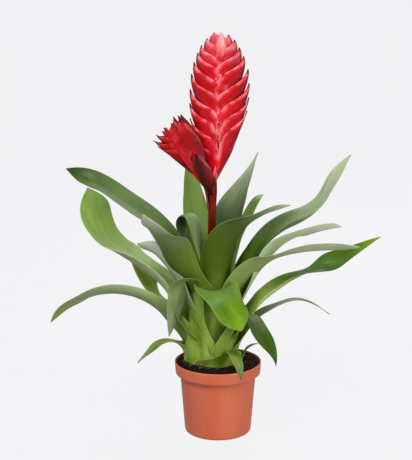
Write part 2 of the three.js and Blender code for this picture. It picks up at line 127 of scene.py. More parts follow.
def mottled(tree, shader, patch_mm, detail, shades):
    """Colours the finish by noise in patches of about this size on each axis. Gives back the noise."""
    where = add(tree, "TexCoord", "Object")
    scale = [1 / (size * MM) for size in patch_mm]
    mapped = add(tree, "Mapping", "Vector", {"Vector": where}, Scale=scale)
    cloud = add(tree, "TexNoise", "Fac", {"Vector": mapped}, Scale=1.0, Detail=detail)
    feed(tree, shader, {"Base Color": add(tree, "ValToRGB", "Color", {"Fac": cloud}, shades)})
    return cloud


def finish(name, **shader_values):
    """A new material with an empty tree but for its Principled shader and output."""
    material = bpy.data.materials.new(name)
    material.use_nodes = True
    tree = material.node_tree
    shader = tree.nodes["Principled BSDF"]
    for key, value in shader_values.items():
        shader.inputs[key.replace("_", " ")].default_value = value
    return material, tree, shader


print("dark leaf green is", [round(c, 3) for c in linear("#4f7d1f")], "in linear light")

# %% [markdown]
# ## From a bmesh to a finished piece
# A piece that replaces a CAD node keeps its object at the origin and has its place in its mesh. One
# function turns a bmesh into an object with its finishes. Another makes it a smooth piece of the
# plant, hangs it on the body it rides on, and hides the CAD nodes it stands for.


# %% Making an object of a bmesh
def placed(name, bm, materials):
    """An object at the origin made of bm, with its finishes."""
    mesh = bpy.data.meshes.new(name)
    bm.to_mesh(mesh)
    bm.free()
    for material in materials:
        mesh.materials.append(material)
    made = bpy.data.objects.new(name, mesh)
    bpy.context.scene.collection.objects.link(made)
    return made


def piece(name, bm, materials, slot, *nodes):
    """A smooth-shaded object made of bm, riding on the part's one body."""
    for face in bm.faces:
        face.smooth = True
    made = placed(name, bm, materials)
    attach(made, "root")
    if nodes:
        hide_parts(*nodes)
    return made


def thicken(made, thickness, levels=1, under=0, rim=0):
    """Thickens a sheet about its middle and rounds it. under and rim step to its other finishes."""
    solid = made.modifiers.new("thickness", "SOLIDIFY")
    solid.thickness = thickness
    solid.offset = 0
    solid.material_offset = under
    solid.material_offset_rim = rim
    round_off = made.modifiers.new("smooth", "SUBSURF")
    round_off.levels = round_off.render_levels = levels
    return made


print("sheets get their thickness from Solidify and their roundness from Subdivision Surface")

# %% [markdown]
# ## How a strap leaf is shaped
# A leaf starts as a sheath wrapped round the crown, rises, then arches over as a channelled strap
# that tapers to a point. It could be drawn as a curve with a bevelled profile, but then the sheath
# and the changing channel would be hard to get. So a flat grid, one strip per leaf, is laid along
# the leaf's midrib: each row of the grid is bent to an arc across the midrib, and each leaf needs
# only its bearing, length, width and a few readings of pitch, swing, roll and cup along the way.


# %% Smooth steps and curves
def clamp01(x):
    return min(max(x, 0.0), 1.0)


def smooth(a, b, x):
    u = clamp01((x - a) / (b - a))
    return u * u * (3 - 2 * u)


def along(values, t):
    """A smooth curve through evenly spaced values, read at t from 0 to 1."""
    last = len(values) - 1
    x = clamp01(t) * last
    i = min(int(x), last - 1)
    u = x - i
    p0, p1 = values[max(i - 1, 0)], values[i]
    p2, p3 = values[i + 1], values[min(i + 2, last)]
    square = (2 * p0 - 5 * p1 + 4 * p2 - p3) * u * u
    cube = (3 * p1 - p0 - 3 * p2 + p3) * u * u * u
    return 0.5 * (2 * p1 + (p2 - p0) * u + square + cube)


print("halfway through 0, 10, 40 the curve reads", round(along([0, 10, 40], 0.25), 2))

# %% [markdown]
# The midrib is walked in short steps: at each one the heading comes from the leaf's pitch and swing.
# Near the crown a row's arc is centred on the crown, so that the sheath wraps it. Further out the
# arc's radius comes from the cup angle, so the blade is a channel that flattens towards its tip.

# %% The leaf surface
CROWN = Vector((-8, 2, 0))
STILL = [0] * 6
LEAF_ROWS = 72
LEAF_COLUMNS = 14
SHEATH_WRAP = 1.1  # half a sheath's width for each mm of its foot's radius
SHEATH_SHARE = 0.32  # share of the length over which the sheath turns into the strap
SHEATH_EASE, FREE_SPREAD = 1.05, 30  # how far a sheath may widen as it comes away from the crown, in mm
BLUNTNESS = 1.8  # how round the strap's outline is towards its point
LEAST_HALF = 0.25
FREE_FROM, FREE_TO = 38, 70  # mm from the axis between which a leaf comes away from the crown's arc
LEAF_TRIM = 0.999  # keeps the tip of each finer leaf inside the box of its CAD solid


def heading(spec, t):
    pitch = math.radians(along(spec["pitch"], t))
    bearing = math.radians(spec["az"] + along(spec.get("swing", STILL), t))
    flat = math.cos(pitch)
    return Vector((flat * math.cos(bearing), flat * math.sin(bearing), math.sin(pitch))), bearing


def strap_width(spec, t, out, reach):
    """Half the width at t, in mm: the sheath's wrap at the foot, the strap's taper beyond it."""
    foot_half = spec["foot"][0] * spec.get("wrap", SHEATH_WRAP)
    half = spec["width"] / 2
    taper = spec["taper"]
    width = foot_half + (half - foot_half) * smooth(0, SHEATH_SHARE, t)
    width *= (1 - clamp01((t - taper) / (1 - taper)) ** spec.get("point", BLUNTNESS))
    if reach < 1:
        widest = out * spec.get("wrap", SHEATH_WRAP) * SHEATH_EASE + reach * FREE_SPREAD
        width = min(width, widest)
    return max(width, LEAST_HALF)


def leaf_rows(spec, rows):
    """Each row's point on the midrib, directions across and out of the face, half width, arc radius."""
    start, end = spec.get("free", (FREE_FROM, FREE_TO))
    angle = math.radians(spec["az"])
    radius, height = spec["foot"]
    point = Vector((radius * math.cos(angle), radius * math.sin(angle), height))
    step = spec["length"] * LEAF_TRIM / rows
    made = []
    for k in range(rows + 1):
        t = k / rows
        if k:
            point = point + heading(spec, (k - 0.5) / rows)[0] * step
        forward, bearing = heading(spec, t)
        level = Vector((-math.sin(bearing), math.cos(bearing), 0))
        roll = math.radians(along(spec.get("roll", STILL), t))
        up = forward.cross(level)
        across = level * math.cos(roll) + up * math.sin(roll)
        face = up * math.cos(roll) - level * math.sin(roll)
        out = math.hypot(point.x, point.y)
        reach = smooth(start, end, out)
        width = strap_width(spec, t, out, reach)
        cup = math.radians(along(spec["cup"], t))
        made.append((point.copy(), across, face, width, out * (1 - reach) + reach * width / cup))
    return made


RIPPLE, RIPPLE_MM, RIPPLE_ACROSS, RIPPLE_FROM = 1.2, 24, 0.8, (0.25, 0.5)
CREASE_DEPTH, CREASE_SHARE, CREASE_STARTS, CREASE_ENDS = 0.55, 0.16, (0.05, 0.3), (0.8, 1)
SEED_STEP = 0.37  # takes each leaf's bearing to a stretch of noise of its own


def mapped_bmesh():
    """An empty bmesh with two maps: shares of the piece from 0 to 1, and metres across and along it."""
    bm = bmesh.new()
    return bm, bm.loops.layers.uv.new("share"), bm.loops.layers.uv.new("strap")


def corners(bm):
    """Every corner of every face, where the maps are held."""
    return (loop for face in bm.faces for loop in face.loops)


def leaf_mesh(spec, rows=LEAF_ROWS, columns=LEAF_COLUMNS):
    """A grid bent to the leaf."""
    bm, share, strap = mapped_bmesh()
    bmesh.ops.create_grid(bm, x_segments=columns, y_segments=rows, size=1, calc_uvs=True)
    spine = leaf_rows(spec, rows)
    at = Vector(spec["at"])
    seed = spec["az"] * SEED_STEP
    for loop in corners(bm):
        u, t = loop.vert.co.x, (loop.vert.co.y + 1) / 2
        width = spine[round(t * rows)][3]
        loop[share].uv = ((u + 1) / 2, t)
        loop[strap].uv = (u * width * MM + spec["rank"], t * spec["length"] * MM)
    for vert in bm.verts:
        u, t = -vert.co.x, (vert.co.y + 1) / 2
        point, across, face, width, radius = spine[round(t * rows)]
        angle = u * width / radius
        place = point + across * (radius * math.sin(angle)) + face * (radius * (1 - math.cos(angle)))
        inward = face * math.cos(angle) - across * math.sin(angle)
        free = smooth(*RIPPLE_FROM, t)
        wave = noise.noise((t * spec["length"] / RIPPLE_MM, u * RIPPLE_ACROSS + seed, seed)) * u ** 2
        crease = smooth(*CREASE_STARTS, t) * (1 - smooth(*CREASE_ENDS, t))
        crease *= math.exp(-((u / CREASE_SHARE) ** 2))
        place += inward * (free * spec.get("ripple", RIPPLE) * wave - CREASE_DEPTH * crease)
        vert.co = (place + at) * MM
    return bm


print("a leaf is a grid of", LEAF_ROWS, "by", LEAF_COLUMNS, "faces before it is thickened")

# %% [markdown]
# ## The green finishes
# A living leaf is waxy skin over green tissue: a soft sheen, fine parallel veins along the strap,
# and paler tissue where the sheath saw no light. The underside is duller and greyer, with a bloom of
# fine scales, which is also painted paler in patches as a sheen of reflected sky. Three finishes
# share each leaf: upper skin, underside, and the thin margin, painted as a pale line that is partly
# its thin tissue and partly a painted highlight. Patterns read the strap map, so that veins follow the
# leaf.

# %% Leaf skin
VEIN_MM, VEIN_RUN_MM = 1.9, 90  # real veins stand about 1 mm apart, too fine to show at this distance
MOTTLE_MM = 22
# Grey patches of bloom, which also carry a painted sheen where the leaf would reflect the pale sky.
BLOOM_AND_SHEEN_MM = 5  # the scales of the bloom are far finer, but lie in patches of about this width


def strap_noise(tree, across_mm, along_mm, detail=2.0):
    """Blotches that follow the strap, of about the size given across and along it, from 0 to 1."""
    strap = add(tree, "UVMap", "UV", uv_map="strap")
    scale = (1 / (across_mm * MM), 1 / (along_mm * MM), 1)
    mapped = add(tree, "Mapping", "Vector", {"Vector": strap}, Scale=scale)
    return add(tree, "TexNoise", "Fac", {"Vector": mapped}, Scale=1.0, Detail=detail)


def leaf_skin(name, shades, bloom_and_sheen, sheath, dry, roughness):
    """Leaf tissue: veined green, softly shiny, paler in the sheath and dry brown at the tip. Its tone
    carries painted light and shade, and its bloom a painted sheen.
    """
    material, tree, shader = finish(name, IOR=1.42, Specular_IOR_Level=0.2)
    tone_and_light, bloomed_and_sheened, sheathed, dried = (
        add(tree, "Attribute", "Fac", attribute_name=held) for held in ("tone_and_light", "bloom_and_sheen", "sheath", "dry")
    )
    veins = strap_noise(tree, VEIN_MM, VEIN_RUN_MM)
    mottle = strap_noise(tree, MOTTLE_MM, MOTTLE_MM * 3, 3.0)
    tone_and_light = add(tree, "Math", 0, {0: mottle, 1: 0.5, 2: tone_and_light}, operation="MULTIPLY_ADD")
    tone_and_light = add(tree, "Math", 0, {0: veins, 1: 0.22, 2: tone_and_light}, operation="MULTIPLY_ADD")
    # A tone of 0 with average noise reads 0.36, the darkest of the four shades.
    tone_and_light = add(tree, "MapRange", "Result", {"Value": tone_and_light}, From_Min=0.36, From_Max=1.3)
    green = add(tree, "ValToRGB", "Color", {"Fac": tone_and_light}, list(zip((0.0, 0.36, 0.68, 1.0), shades)))
    # The bloom greys the green in patches, partly the frost of its scales and partly a painted sheen of
    # reflected sky. The sheath saw no light, and the tip has dried.
    patches = strap_noise(tree, BLOOM_AND_SHEEN_MM, BLOOM_AND_SHEEN_MM * 9)
    green = layer(tree, green, bloom_and_sheen, patches, 0.3, 0.7, 0.75, 1.1, bloomed_and_sheened)
    foot = add(tree, "ValToRGB", "Color", {"Fac": mottle}, [(0.36, sheath[0]), (0.66, sheath[1])])
    foot = layer(tree, foot, sheath[0], veins, 0.4, 0.7, 0.0, 0.25)
    green = add(tree, "Mix", MIXED, {0: sheathed, 6: green, 7: foot}, data_type="RGBA")
    green = add(tree, "Mix", MIXED, {0: dried, 6: green, 7: dry}, data_type="RGBA")
    gloss = add(
        tree, "MapRange", "Result", {"Value": mottle},
        From_Min=0.3, From_Max=0.7, To_Min=roughness - 0.05, To_Max=roughness + 0.08,
    )
    relief = add(tree, "Bump", "Normal", {"Height": veins}, Distance=0.12 * MM, Strength=0.45)
    feed(tree, shader, {"Base Color": green, "Roughness": gloss, "Normal": relief})
    return material


# The grey after the four greens is the bloom colour: frost of scales, and painted sheen of reflected sky.
upper_skin = leaf_skin(
    "living_leaf_upper_waxy", ("#2a4404", "#466a08", "#6e921a", "#9cb848"), "#b4bfa2",
    ("#5c7818", "#94ac48"), "#8a6a3c", 0.42,
)
under_skin = leaf_skin(
    "living_leaf_underside_scales_and_sheen", ("#465e14", "#688424", "#90a83e", "#bccc72"), "#dadfce",
    ("#5a7616", "#98b04a"), "#8a6a3c", 0.5,
)
# The margin's pale greens are partly its thin tissue and partly a painted highlight along the edge.
margin_skin_and_highlight = leaf_skin(
    "living_leaf_margin_thin_highlight", ("#728648", "#889a58", "#a2b274", "#b8c690"), "#d8dccc",
    ("#90a04c", "#b0bc74"), "#9a8258", 0.42,
)
LEAF_FINISHES = [upper_skin, under_skin, margin_skin_and_highlight]
print("leaf veins drawn", VEIN_MM, "mm apart")

# %% [markdown]
# ## The leaves
# Each leaf is written as its own set of readings, from the innermost outwards, because no two leaves
# of a real rosette are alike. az is its bearing in degrees from the plant's right, length and width
# are in mm, and taper is where along it the strap starts to narrow. Pitch, swing, roll and cup are
# degrees at even steps from foot to tip. tone says how pale it is there, partly its own colour and
# partly painted light and shade. bloom says how frosted it is, partly a painted sheen of reflected sky,
# and dry is where its dead tip starts. The foot follows from the leaf's rank: every leaf further out
# starts a little lower and wider on the crown.

# %% The rosette's readings
FOOT_RADIUS, FOOT_RADIUS_STEP = 9, 1.25
FOOT_HEIGHT, FOOT_HEIGHT_STEP = 128, 1.05
LEAF_THICKNESS = 0.7
# Paleness along a leaf: partly its own colour, partly painted light where it is lit and painted shade
# where it is shaded.
TONE_AND_LIGHT = [0.45, 0.42, 0.34, 0.3, 0.36, 0.42]  # of a leaf without readings of its own
DRY_FROM = 0.985
SHEATH_FADE = (28, 100)  # mm from the foot over which the pale sheath turns green

LEAVES = [
    dict(az=164, length=264, width=24, taper=0.68,
         pitch=[88, 84, 80, 78, 74, 70, 72, 150, 242, 258, 258],
         swing=[0, 0, 0, 0, -3, -8, -14, -28, -42, -42, -42], cup=[50, 50, 50, 45, 30, 20],
         tone_and_light=[0.4, 0.3, 0.1, -0.1, -0.4, -0.3], bloom_and_sheen=[0, 0, 0, 0.1, 0.1, 0.1]),
    dict(az=118, length=262, width=48, taper=0.55, pitch=[90, 81, 72, 74, 78, 82],
         swing=[0, 0, 3, 4, 4, 4], cup=[50, 50, 50, 40, 30, 20], tone_and_light=[0.5, 0.45, 0.45, 0.5, 0.6, 0.7],
         bloom_and_sheen=[0, 0, 0.05, 0.1, 0.15, 0.15]),
    dict(az=84, length=304, width=47.7, taper=0.49, pitch=[87, 70, 57, 46, 39, 40],
         swing=[0, -3, -11, -21, -25, -20], roll=[0, 2, 8, 16, -13, -33], cup=[50, 50, 50, 41, 21, 18],
         tone_and_light=[0.4, 0.3, 0.15, 0.1, 0.3, 0.6], bloom_and_sheen=[0, 0, 0, 0.1, 0.55, 1], dry=0.95),
    dict(az=-64, length=251, width=64.1, taper=0.62, pitch=[87, 86, 83, 61, 28, 8],
         swing=[0, 3, 19, 52, 69, 84], roll=[0, -8, -24, -39, -22, -41], cup=[50, 50, 46, 33, 9, 28],
         tone_and_light=[0.5, 0.25, 0, -0.1, 0.1, 0.5], bloom_and_sheen=[0, 0, 0, 0, 0.15, 0.7], dry=0.97),
    dict(az=64, length=241, width=27.8, taper=0.64, pitch=[87, 74, 62, 57, 46, -4],
         swing=[0, -5, -13, -17, -5, -1], roll=[0, -1, -8, -22, -18, 23], cup=[50, 50, 40, 45, 17, 27],
         tone_and_light=[0.6, 0.6, 0.55, 0.5, 0.5, 0.4], bloom_and_sheen=[0, 0, 0.1, 0.1, 0.1, 0.1], dry=0.95),
    dict(az=163, length=343, width=48.8, taper=0.75, pitch=[90, 77, 53, 28, 32, 8],
         swing=[0, -2, -5, -10, -2, -20], roll=[0, 8, 15, -9, -17, -75], cup=[50, 50, 60, 44, 44, 16],
         point=1.5, tone_and_light=[0.5, 0.3, 0.15, 0.1, 0.1, 0], bloom_and_sheen=[0, 0, 0.05, 0.1, 0.1, 0], dry=0.985),
    dict(az=34, length=348, width=51.3, taper=0.63, pitch=[81, 63, 44, 16, 57, 40],
         swing=[0, 1, 2, -2, -9, 2], roll=[0, -6, -12, 1, -8, 26], cup=[50, 50, 40, 69, 9, 36],
         tone_and_light=[0.6, 0.35, 0.1, 0.1, 0.35, 0.4], bloom_and_sheen=[0, 0, 0, 0.15, 0.7, 0.7]),
    dict(az=230, length=259, width=58.7, taper=0.64, pitch=[90, 78, 56, 62, 28, 49],
         swing=[0, -7, -21, 0, 18, 10], roll=[0, 26, 17, 14, -13, 12], cup=[50, 50, 41, 51, 10, 13],
         tone_and_light=[0.5, 0.4, 0.2, 0.2, 0.45, 0.8], bloom_and_sheen=[0, 0, 0, 0.05, 0.4, 1]),
    dict(az=4, length=258, width=45.7, taper=0.81, pitch=[80, 68, 58, 48, 13, -2],
         swing=[0, 5, -2, -28, 4, 32], roll=[0, -3, -2, -5, -28, -32], cup=[50, 50, 38, 57, 9, 43],
         tone_and_light=[0.6, 0.6, 0.6, 0.9, 1.1, 1], bloom_and_sheen=[0, 0.2, 0.4, 0.8, 0.9, 0.8]),
    dict(az=200, length=184, width=40.4, taper=0.85, pitch=[86, 77, 69, 61, 48, 17],
         swing=[0, -2, -6, -8, -6, 5], roll=[0, -1, 1, 12, 24, 42], cup=[50, 50, 40, 25, 33, 22],
         tone_and_light=[0.5, 0.4, 0.5, 0.8, 1, 1], bloom_and_sheen=[0, 0.2, 0.4, 0.9, 1, 1]),
    dict(az=-18, length=282, width=46.8, taper=0.68, pitch=[90, 81, 48, 22, 11, 0],
         swing=[0, 1, 3, -11, -6, 23], roll=[0, -21, -36, -8, -24, -46], cup=[50, 50, 51, 18, 23, 26],
         tone_and_light=[0.6, 0.5, 0.45, 0.6, 0.75, 0.5], bloom_and_sheen=[0, 0, 0.1, 0.35, 0.55, 0.4]),
    dict(az=-84, length=189, width=59.3, taper=0.76, pitch=[90, 100, 71, 2, -38, -44],
         swing=[0, -4, -7, 6, 32, 37], roll=[0, -1, -2, 2, -7, 23], cup=[50, 50, 30, 17, 10, 10],
         point=2.6, tone_and_light=[0.5, 0.5, 0.45, 0.4, 0.45, 0.55], bloom_and_sheen=[0, 0, 0.1, 0.1, 0, 0]),
    dict(az=98, length=240, width=36, taper=0.6, pitch=[85, 65, 35, 5, -25, -45],
         cup=[50, 50, 40, 30, 30, 20]),
    dict(az=194, length=281, width=66.4, taper=0.78, pitch=[82, 67, 42, 35, 68, 77],
         swing=[0, -16, -18, -23, 0, 4], roll=[0, -28, 1, 3, -38, -75], cup=[50, 50, 54, 46, 13, 10],
         point=2.6, tone_and_light=[0.5, 0.55, 0.55, 0.55, 0.6, 0.55], bloom_and_sheen=[0, 0, 0.35, 0.3, 0.15, 0.15]),
    dict(az=-4, length=269, width=36, taper=0.48, pitch=[80, 54, 37, 27, 27, 24],
         swing=[0, 8, 4, -4, 9, 8], roll=[0, 7, 14, 2, 95, 97], cup=[50, 50, 70, 20, 17, 23],
         tone_and_light=[0.6, 0.7, 0.8, 0.3, 0.2, 0.7], bloom_and_sheen=[0, 0.1, 0.1, 0.1, 0, 0], dry=0.96),
    dict(az=72, length=140, width=34, taper=0.6, pitch=[80, 50, 15, -10, -35, -50],
         cup=[50, 50, 40, 30, 30, 20]),
    dict(az=146, length=189, width=49.4, taper=0.6, pitch=[73, 46, 34, 58, 60, 48],
         swing=[0, 9, 14, -6, -7, 3], roll=[0, 4, 15, 20, -19, -33], cup=[50, 50, 38, 29, 72, 26],
         tone_and_light=[0.5, 0.7, 0.9, 1.1, 1, 1]),
    dict(az=226, length=206, width=31.4, taper=0.6,
         pitch=[84, 88, 88, 88, 88, 88, 81, -6, -76, -77, -77, -77, -77],
         swing=[0, 1, 5, 10, 15, 20, 19, -21, -56, -56, -56, -56, -56],
         roll=[0, -2, -6, -12, -19, -25, -25, 16, 51, 51, 51, 51, 51], cup=[50, 50, 45, 40, 30, 22],
         point=2.2, tone_and_light=[0.6, 0.6, 0.4, 0.3, 0.25, 0.2], bloom_and_sheen=[0, 0, 0.05, 0.1, 0.2, 0.2]),
    dict(az=186, length=247, width=40.9, taper=0.7, pitch=[76, 54, 32, 2, -25, -52],
         swing=[0, 5, 5, -2, -4, -15], roll=[0, 28, 27, 27, 29, 38], cup=[50, 50, 56, 52, 10, 31],
         tone_and_light=[0.6, 0.55, 0.4, 0.4, 0.45, 0.5], bloom_and_sheen=[0, 0.1, 0.2, 0.3, 0.2, 0.1], dry=0.95),
    dict(az=10, length=181, width=23.4, taper=0.35, pitch=[83, 55, 26, 12, -25, -40],
         swing=[0, 3, 7, 10, 7, 5], roll=[0, 3, 1, -13, 2, 0], cup=[50, 50, 35, 39, 32, 19],
         tone_and_light=[0.5, 0.3, 0.2, 0.2, 0.2, 0.2], bloom_and_sheen=[0, 0, 0.2, 0.3, 0.4, 0.5], dry=0.9),
    dict(az=-40, length=168, width=32.9, taper=0.6, pitch=[90, 83, 36, -25, -43, -82],
         swing=[0, 0, -7, -27, -1, 10], roll=[0, 1, 1, -23, 14, 5], cup=[50, 50, 36, 27, 10, 27],
         tone_and_light=[0.5, 0.3, 0, 0.05, 0.1, 0.2], bloom_and_sheen=[0, 0, 0.1, 0.05, 0, 0]),
    dict(az=104, length=125, width=30, taper=0.6, pitch=[75, 45, 10, -15, -40, -55],
         cup=[50, 50, 40, 30, 30, 20]),
    dict(az=222, length=62, width=56, taper=0.2, pitch=[88, 91, 91, 91, 91, 91], cup=[50] * 6,
         tone_and_light=[0.5] * 6),
    dict(az=172, length=90, width=20.9, taper=0.61, pitch=[90, 45, -9, -36, -43, -44],
         swing=[0, 5, 6, 8, 4, 0], roll=[0, 13, 3, -15, -11, -1], cup=[50, 50, 37, 27, 16, 18],
         tone_and_light=[0.4, 0.2, 0.1, 0.1, 0.15, 0.2], bloom_and_sheen=[0, 0.1, 0.2, 0.2, 0.3, 0.4], dry=0.97),
    dict(az=-66, length=88, width=16.7, taper=0.62, pitch=[79, 56, 19, -22, -58, -93],
         swing=[0, -3, -5, -2, 4, 0], roll=[0, 9, -2, -9, -3, -5], cup=[50, 50, 33, 23, 22, 21],
         tone_and_light=[0.2, 0, -0.3, -0.3, -0.2, -0.1], bloom_and_sheen=[0, 0, 0.05, 0.1, 0.1, 0.1]),
    dict(az=-3, length=36, width=14, taper=0.3, pitch=[80, 74, 60, 40, 20, 5],
         cup=[50, 50, 40, 40, 40, 40], tone_and_light=[0.3] * 6, bloom_and_sheen=[0, 0.3, 0.5, 0.6, 0.6, 0.6], dry=-0.6),
]
print(len(LEAVES), "leaves, the longest", max(leaf["length"] for leaf in LEAVES), "mm")


# %% Shade of each leaf, held at its points
def shade(bm, spec):
    """Writes how pale, bloomed, sheathed and dry each point is, for the leaf finishes to read. The
    paleness is partly painted light and shade, and the bloom partly painted sheen.
    """
    tone_and_light, bloom_and_sheen, sheath, dry = (bm.verts.layers.float.new(n) for n in ("tone_and_light", "bloom_and_sheen", "sheath", "dry"))
    share = bm.loops.layers.uv["share"]
    for loop in corners(bm):
        t = loop[share].uv.y
        loop.vert[tone_and_light] = along(spec.get("tone_and_light", TONE_AND_LIGHT), t)
        loop.vert[bloom_and_sheen] = along(spec.get("bloom_and_sheen", STILL), t)
        loop.vert[sheath] = 1 - smooth(*SHEATH_FADE, t * spec["length"])
        loop.vert[dry] = smooth(spec.get("dry", DRY_FROM), 1.0, t)


for rank, spec in enumerate(LEAVES, start=1):
    spec["rank"] = rank
    spec["at"] = CROWN
    spec["foot"] = (FOOT_RADIUS + FOOT_RADIUS_STEP * rank, FOOT_HEIGHT - FOOT_HEIGHT_STEP * rank)
    bm = leaf_mesh(spec)
    shade(bm, spec)
    made = piece(f"leaf_{rank:02d}_strap", bm, LEAF_FINISHES, "leaf", f"leaf_{rank:02d}")
    thicken(made, LEAF_THICKNESS * MM, levels=1, under=1, rim=2)

# %% [markdown]
# ## The flower spike
# The spike is flat, like an ear of wheat pressed in a book: two ranks of bracts, each folded along
# its outer keel like the hull of a boat, one inside the next. A bract is a grid too. Its middle line
# is the keel, its two long edges are the margins that meet in front of and behind the stem, and
# the further a point is from the keel, the thicker the boat is there.

# %% The lines of one folded bract
ROOT_SHARE = 0.36  # share of a bract, from its foot, that lies hidden inside the spike
ROOT_RISE = 2.5
KEEL_START = 0.4  # mm from the middle of the stem
RAGGED, RAGGED_MM = 1.8, 7
MARGIN_REACH = [-0.07, 0.1, 0.3, 0.55, 0.77, 0.9, 0.96]  # of the bract's reach, from middle to tip
MARGIN_DROP = [1.0, 0.79, 0.64, 0.5, 0.34, 0.18, 0.0]  # below the tip, as shares of the reach
GAP, GAP_OPENS, OVERLAP, GAP_SHUTS = 4, (374, 400), 6, (428, 466)
GAP_SHARE = 0.3  # of the margin, over which the gap runs out


def bend(a, b, c, t):
    """A curve from a to c, drawn towards b on the way."""
    return a * (1 - t) ** 2 + 2 * b * t * (1 - t) + c * t * t


def shut(z):
    """Margins that cross the middle by 1 mm all the way down."""
    return -1


def opened(z):
    """How far the main spike's margins stand back from its middle at height z, in mm."""
    return GAP * smooth(*GAP_OPENS, z) - OVERLAP * smooth(*GAP_SHUTS, z)


def bract_lines(bract, s, gap):
    """The keel and the margin at s from foot to tip, each as (distance from the stem, height), in mm."""
    reach, tip, length, bulge, low = bract
    start = tip - length
    keel = (bend(KEEL_START, bulge, reach, s), bend(start, tip - length * low, tip, s))
    m = clamp01((s - ROOT_SHARE) / (1 - ROOT_SHARE))
    if m > 0:
        rise = tip - reach * along(MARGIN_DROP, m)
    else:
        root = start + ROOT_RISE
        rise = root + (tip - MARGIN_DROP[0] * reach - root) * s / ROOT_SHARE
    ragged = RAGGED * noise.noise((rise / RAGGED_MM, tip, 0.5)) * (1 - m)
    out = reach * along(MARGIN_REACH, m) + gap(rise) * (1 - smooth(0, GAP_SHARE, m)) + ragged
    return keel, (out, rise)


print("margins of the main spike stand", opened(415), "mm back from its middle where flowers opened")

# %% The body of one folded bract
BRACT_ROWS = 24
BRACT_COLUMNS = 28
BRACT_WALL = 0.55
BOAT_ROUND = 22  # mm from the keel over which the boat reaches its full width
BOAT_HALF, BOAT_PER_REACH, BOAT_LEAST = 3.2, 0.15, 0.8
BOAT_KEPT = 0.6  # share of its depth that a boat keeps at any scale
NEST = 0.13  # mm that a bract lies deeper for each mm below its own margin, so the next one nests in it
ROLL_IN, ROLL_WIDTH, ROLL_DEPTH = 1.5, 6.5, 5  # a margin rolls in, where the boat is deep enough
DENT, DENT_OUT, DENT_UP, DENT_DEPTH = 0.9, 11, 9, 3  # its sides are uneven, where it is deep enough
TIP_PINCH, PINCH_FROM = 0.7, 0.8
STRAP_MM = 20  # half a bract's width on its pattern map


def boat_half(span, inset, reach, scale=1.0):
    """Half the folded bract's depth: round near its keel, and less the deeper it lies in the spike."""
    u = min(span / (BOAT_ROUND * scale), 1)
    full = (BOAT_HALF + BOAT_PER_REACH * reach) * (BOAT_KEPT + (1 - BOAT_KEPT) * scale)
    return math.sqrt(1 - (1 - u) ** 2) * max(full - NEST * inset, BOAT_LEAST)


def bract_mesh(side, bract, place, scale=1.0, gap=shut):
    """side is +1 for the right rank and -1 for the left one. place takes mm to the plant's frame."""
    reach, tip, length = bract[:3]
    bm, share, strap = mapped_bmesh()
    inset = bm.verts.layers.float.new("inset")
    bmesh.ops.create_grid(
        bm, x_segments=BRACT_COLUMNS, y_segments=BRACT_ROWS, size=1, calc_uvs=True,
    )
    for loop in corners(bm):
        u, s = loop.vert.co.x, (loop.vert.co.y + 1) / 2
        loop[share].uv = ((u + 1) / 2, s)
        loop[strap].uv = (u * STRAP_MM * MM + tip * MM, s * length * MM)
    for vert in bm.verts:
        u, s = vert.co.x, (vert.co.y + 1) / 2
        keel, margin = bract_lines(bract, s, gap)
        q = smooth(0, 1, abs(u))
        x = keel[0] + (margin[0] - keel[0]) * q
        z = keel[1] + (margin[1] - keel[1]) * q
        left = math.hypot(x - margin[0], z - margin[1])
        half = boat_half(math.hypot(x - keel[0], z - keel[1]), left, reach, scale)
        roll_in = ROLL_IN * (1 - min(left / ROLL_WIDTH, 1)) ** 2
        uneven = noise.noise((x / DENT_OUT, z / DENT_UP, tip * 0.7 + side)) * DENT
        uneven *= smooth(0, DENT_DEPTH, half)
        half = max(half - roll_in * scale * smooth(0, ROLL_DEPTH, half) + uneven, 0)
        half *= 1 - TIP_PINCH * smooth(PINCH_FROM, 1, s)
        y = 0 if u == 0 else math.copysign(half, -u)
        vert[inset] = left
        vert.co = place(Vector((side * x, y, z))) * MM
    if side > 0:
        bmesh.ops.reverse_faces(bm, faces=bm.faces)
    return bm


print("a bract's wall is", BRACT_WALL, "mm, its boat up to", round(2 * boat_half(40, 0, 39)), "mm wide")

# %% [markdown]
# The bracts are stiff, smooth and shiny as enamel: a saturated red, with a paler pink rim where the
# margin is thin, painted paler still in patches as a highlight, and a dark maroon point. A light coat
# gives the wet-looking highlight, and faint lines run along each bract. The mesh carries each point's
# distance from the margin, so the rim can follow it, and the red deepens below it as painted shade,
# where the next bract grows out.


# %% Red finishes
LINE_MM, LINE_RUN_MM = 2.4, 30
# Width of the pale rim, partly the thin margin's own colour and partly painted highlight.
RIM_AND_HIGHLIGHT_MM = 7.0
PINK_FROM, PINK_TO = 500, 545  # heights in mm between which the youngest bracts turn paler


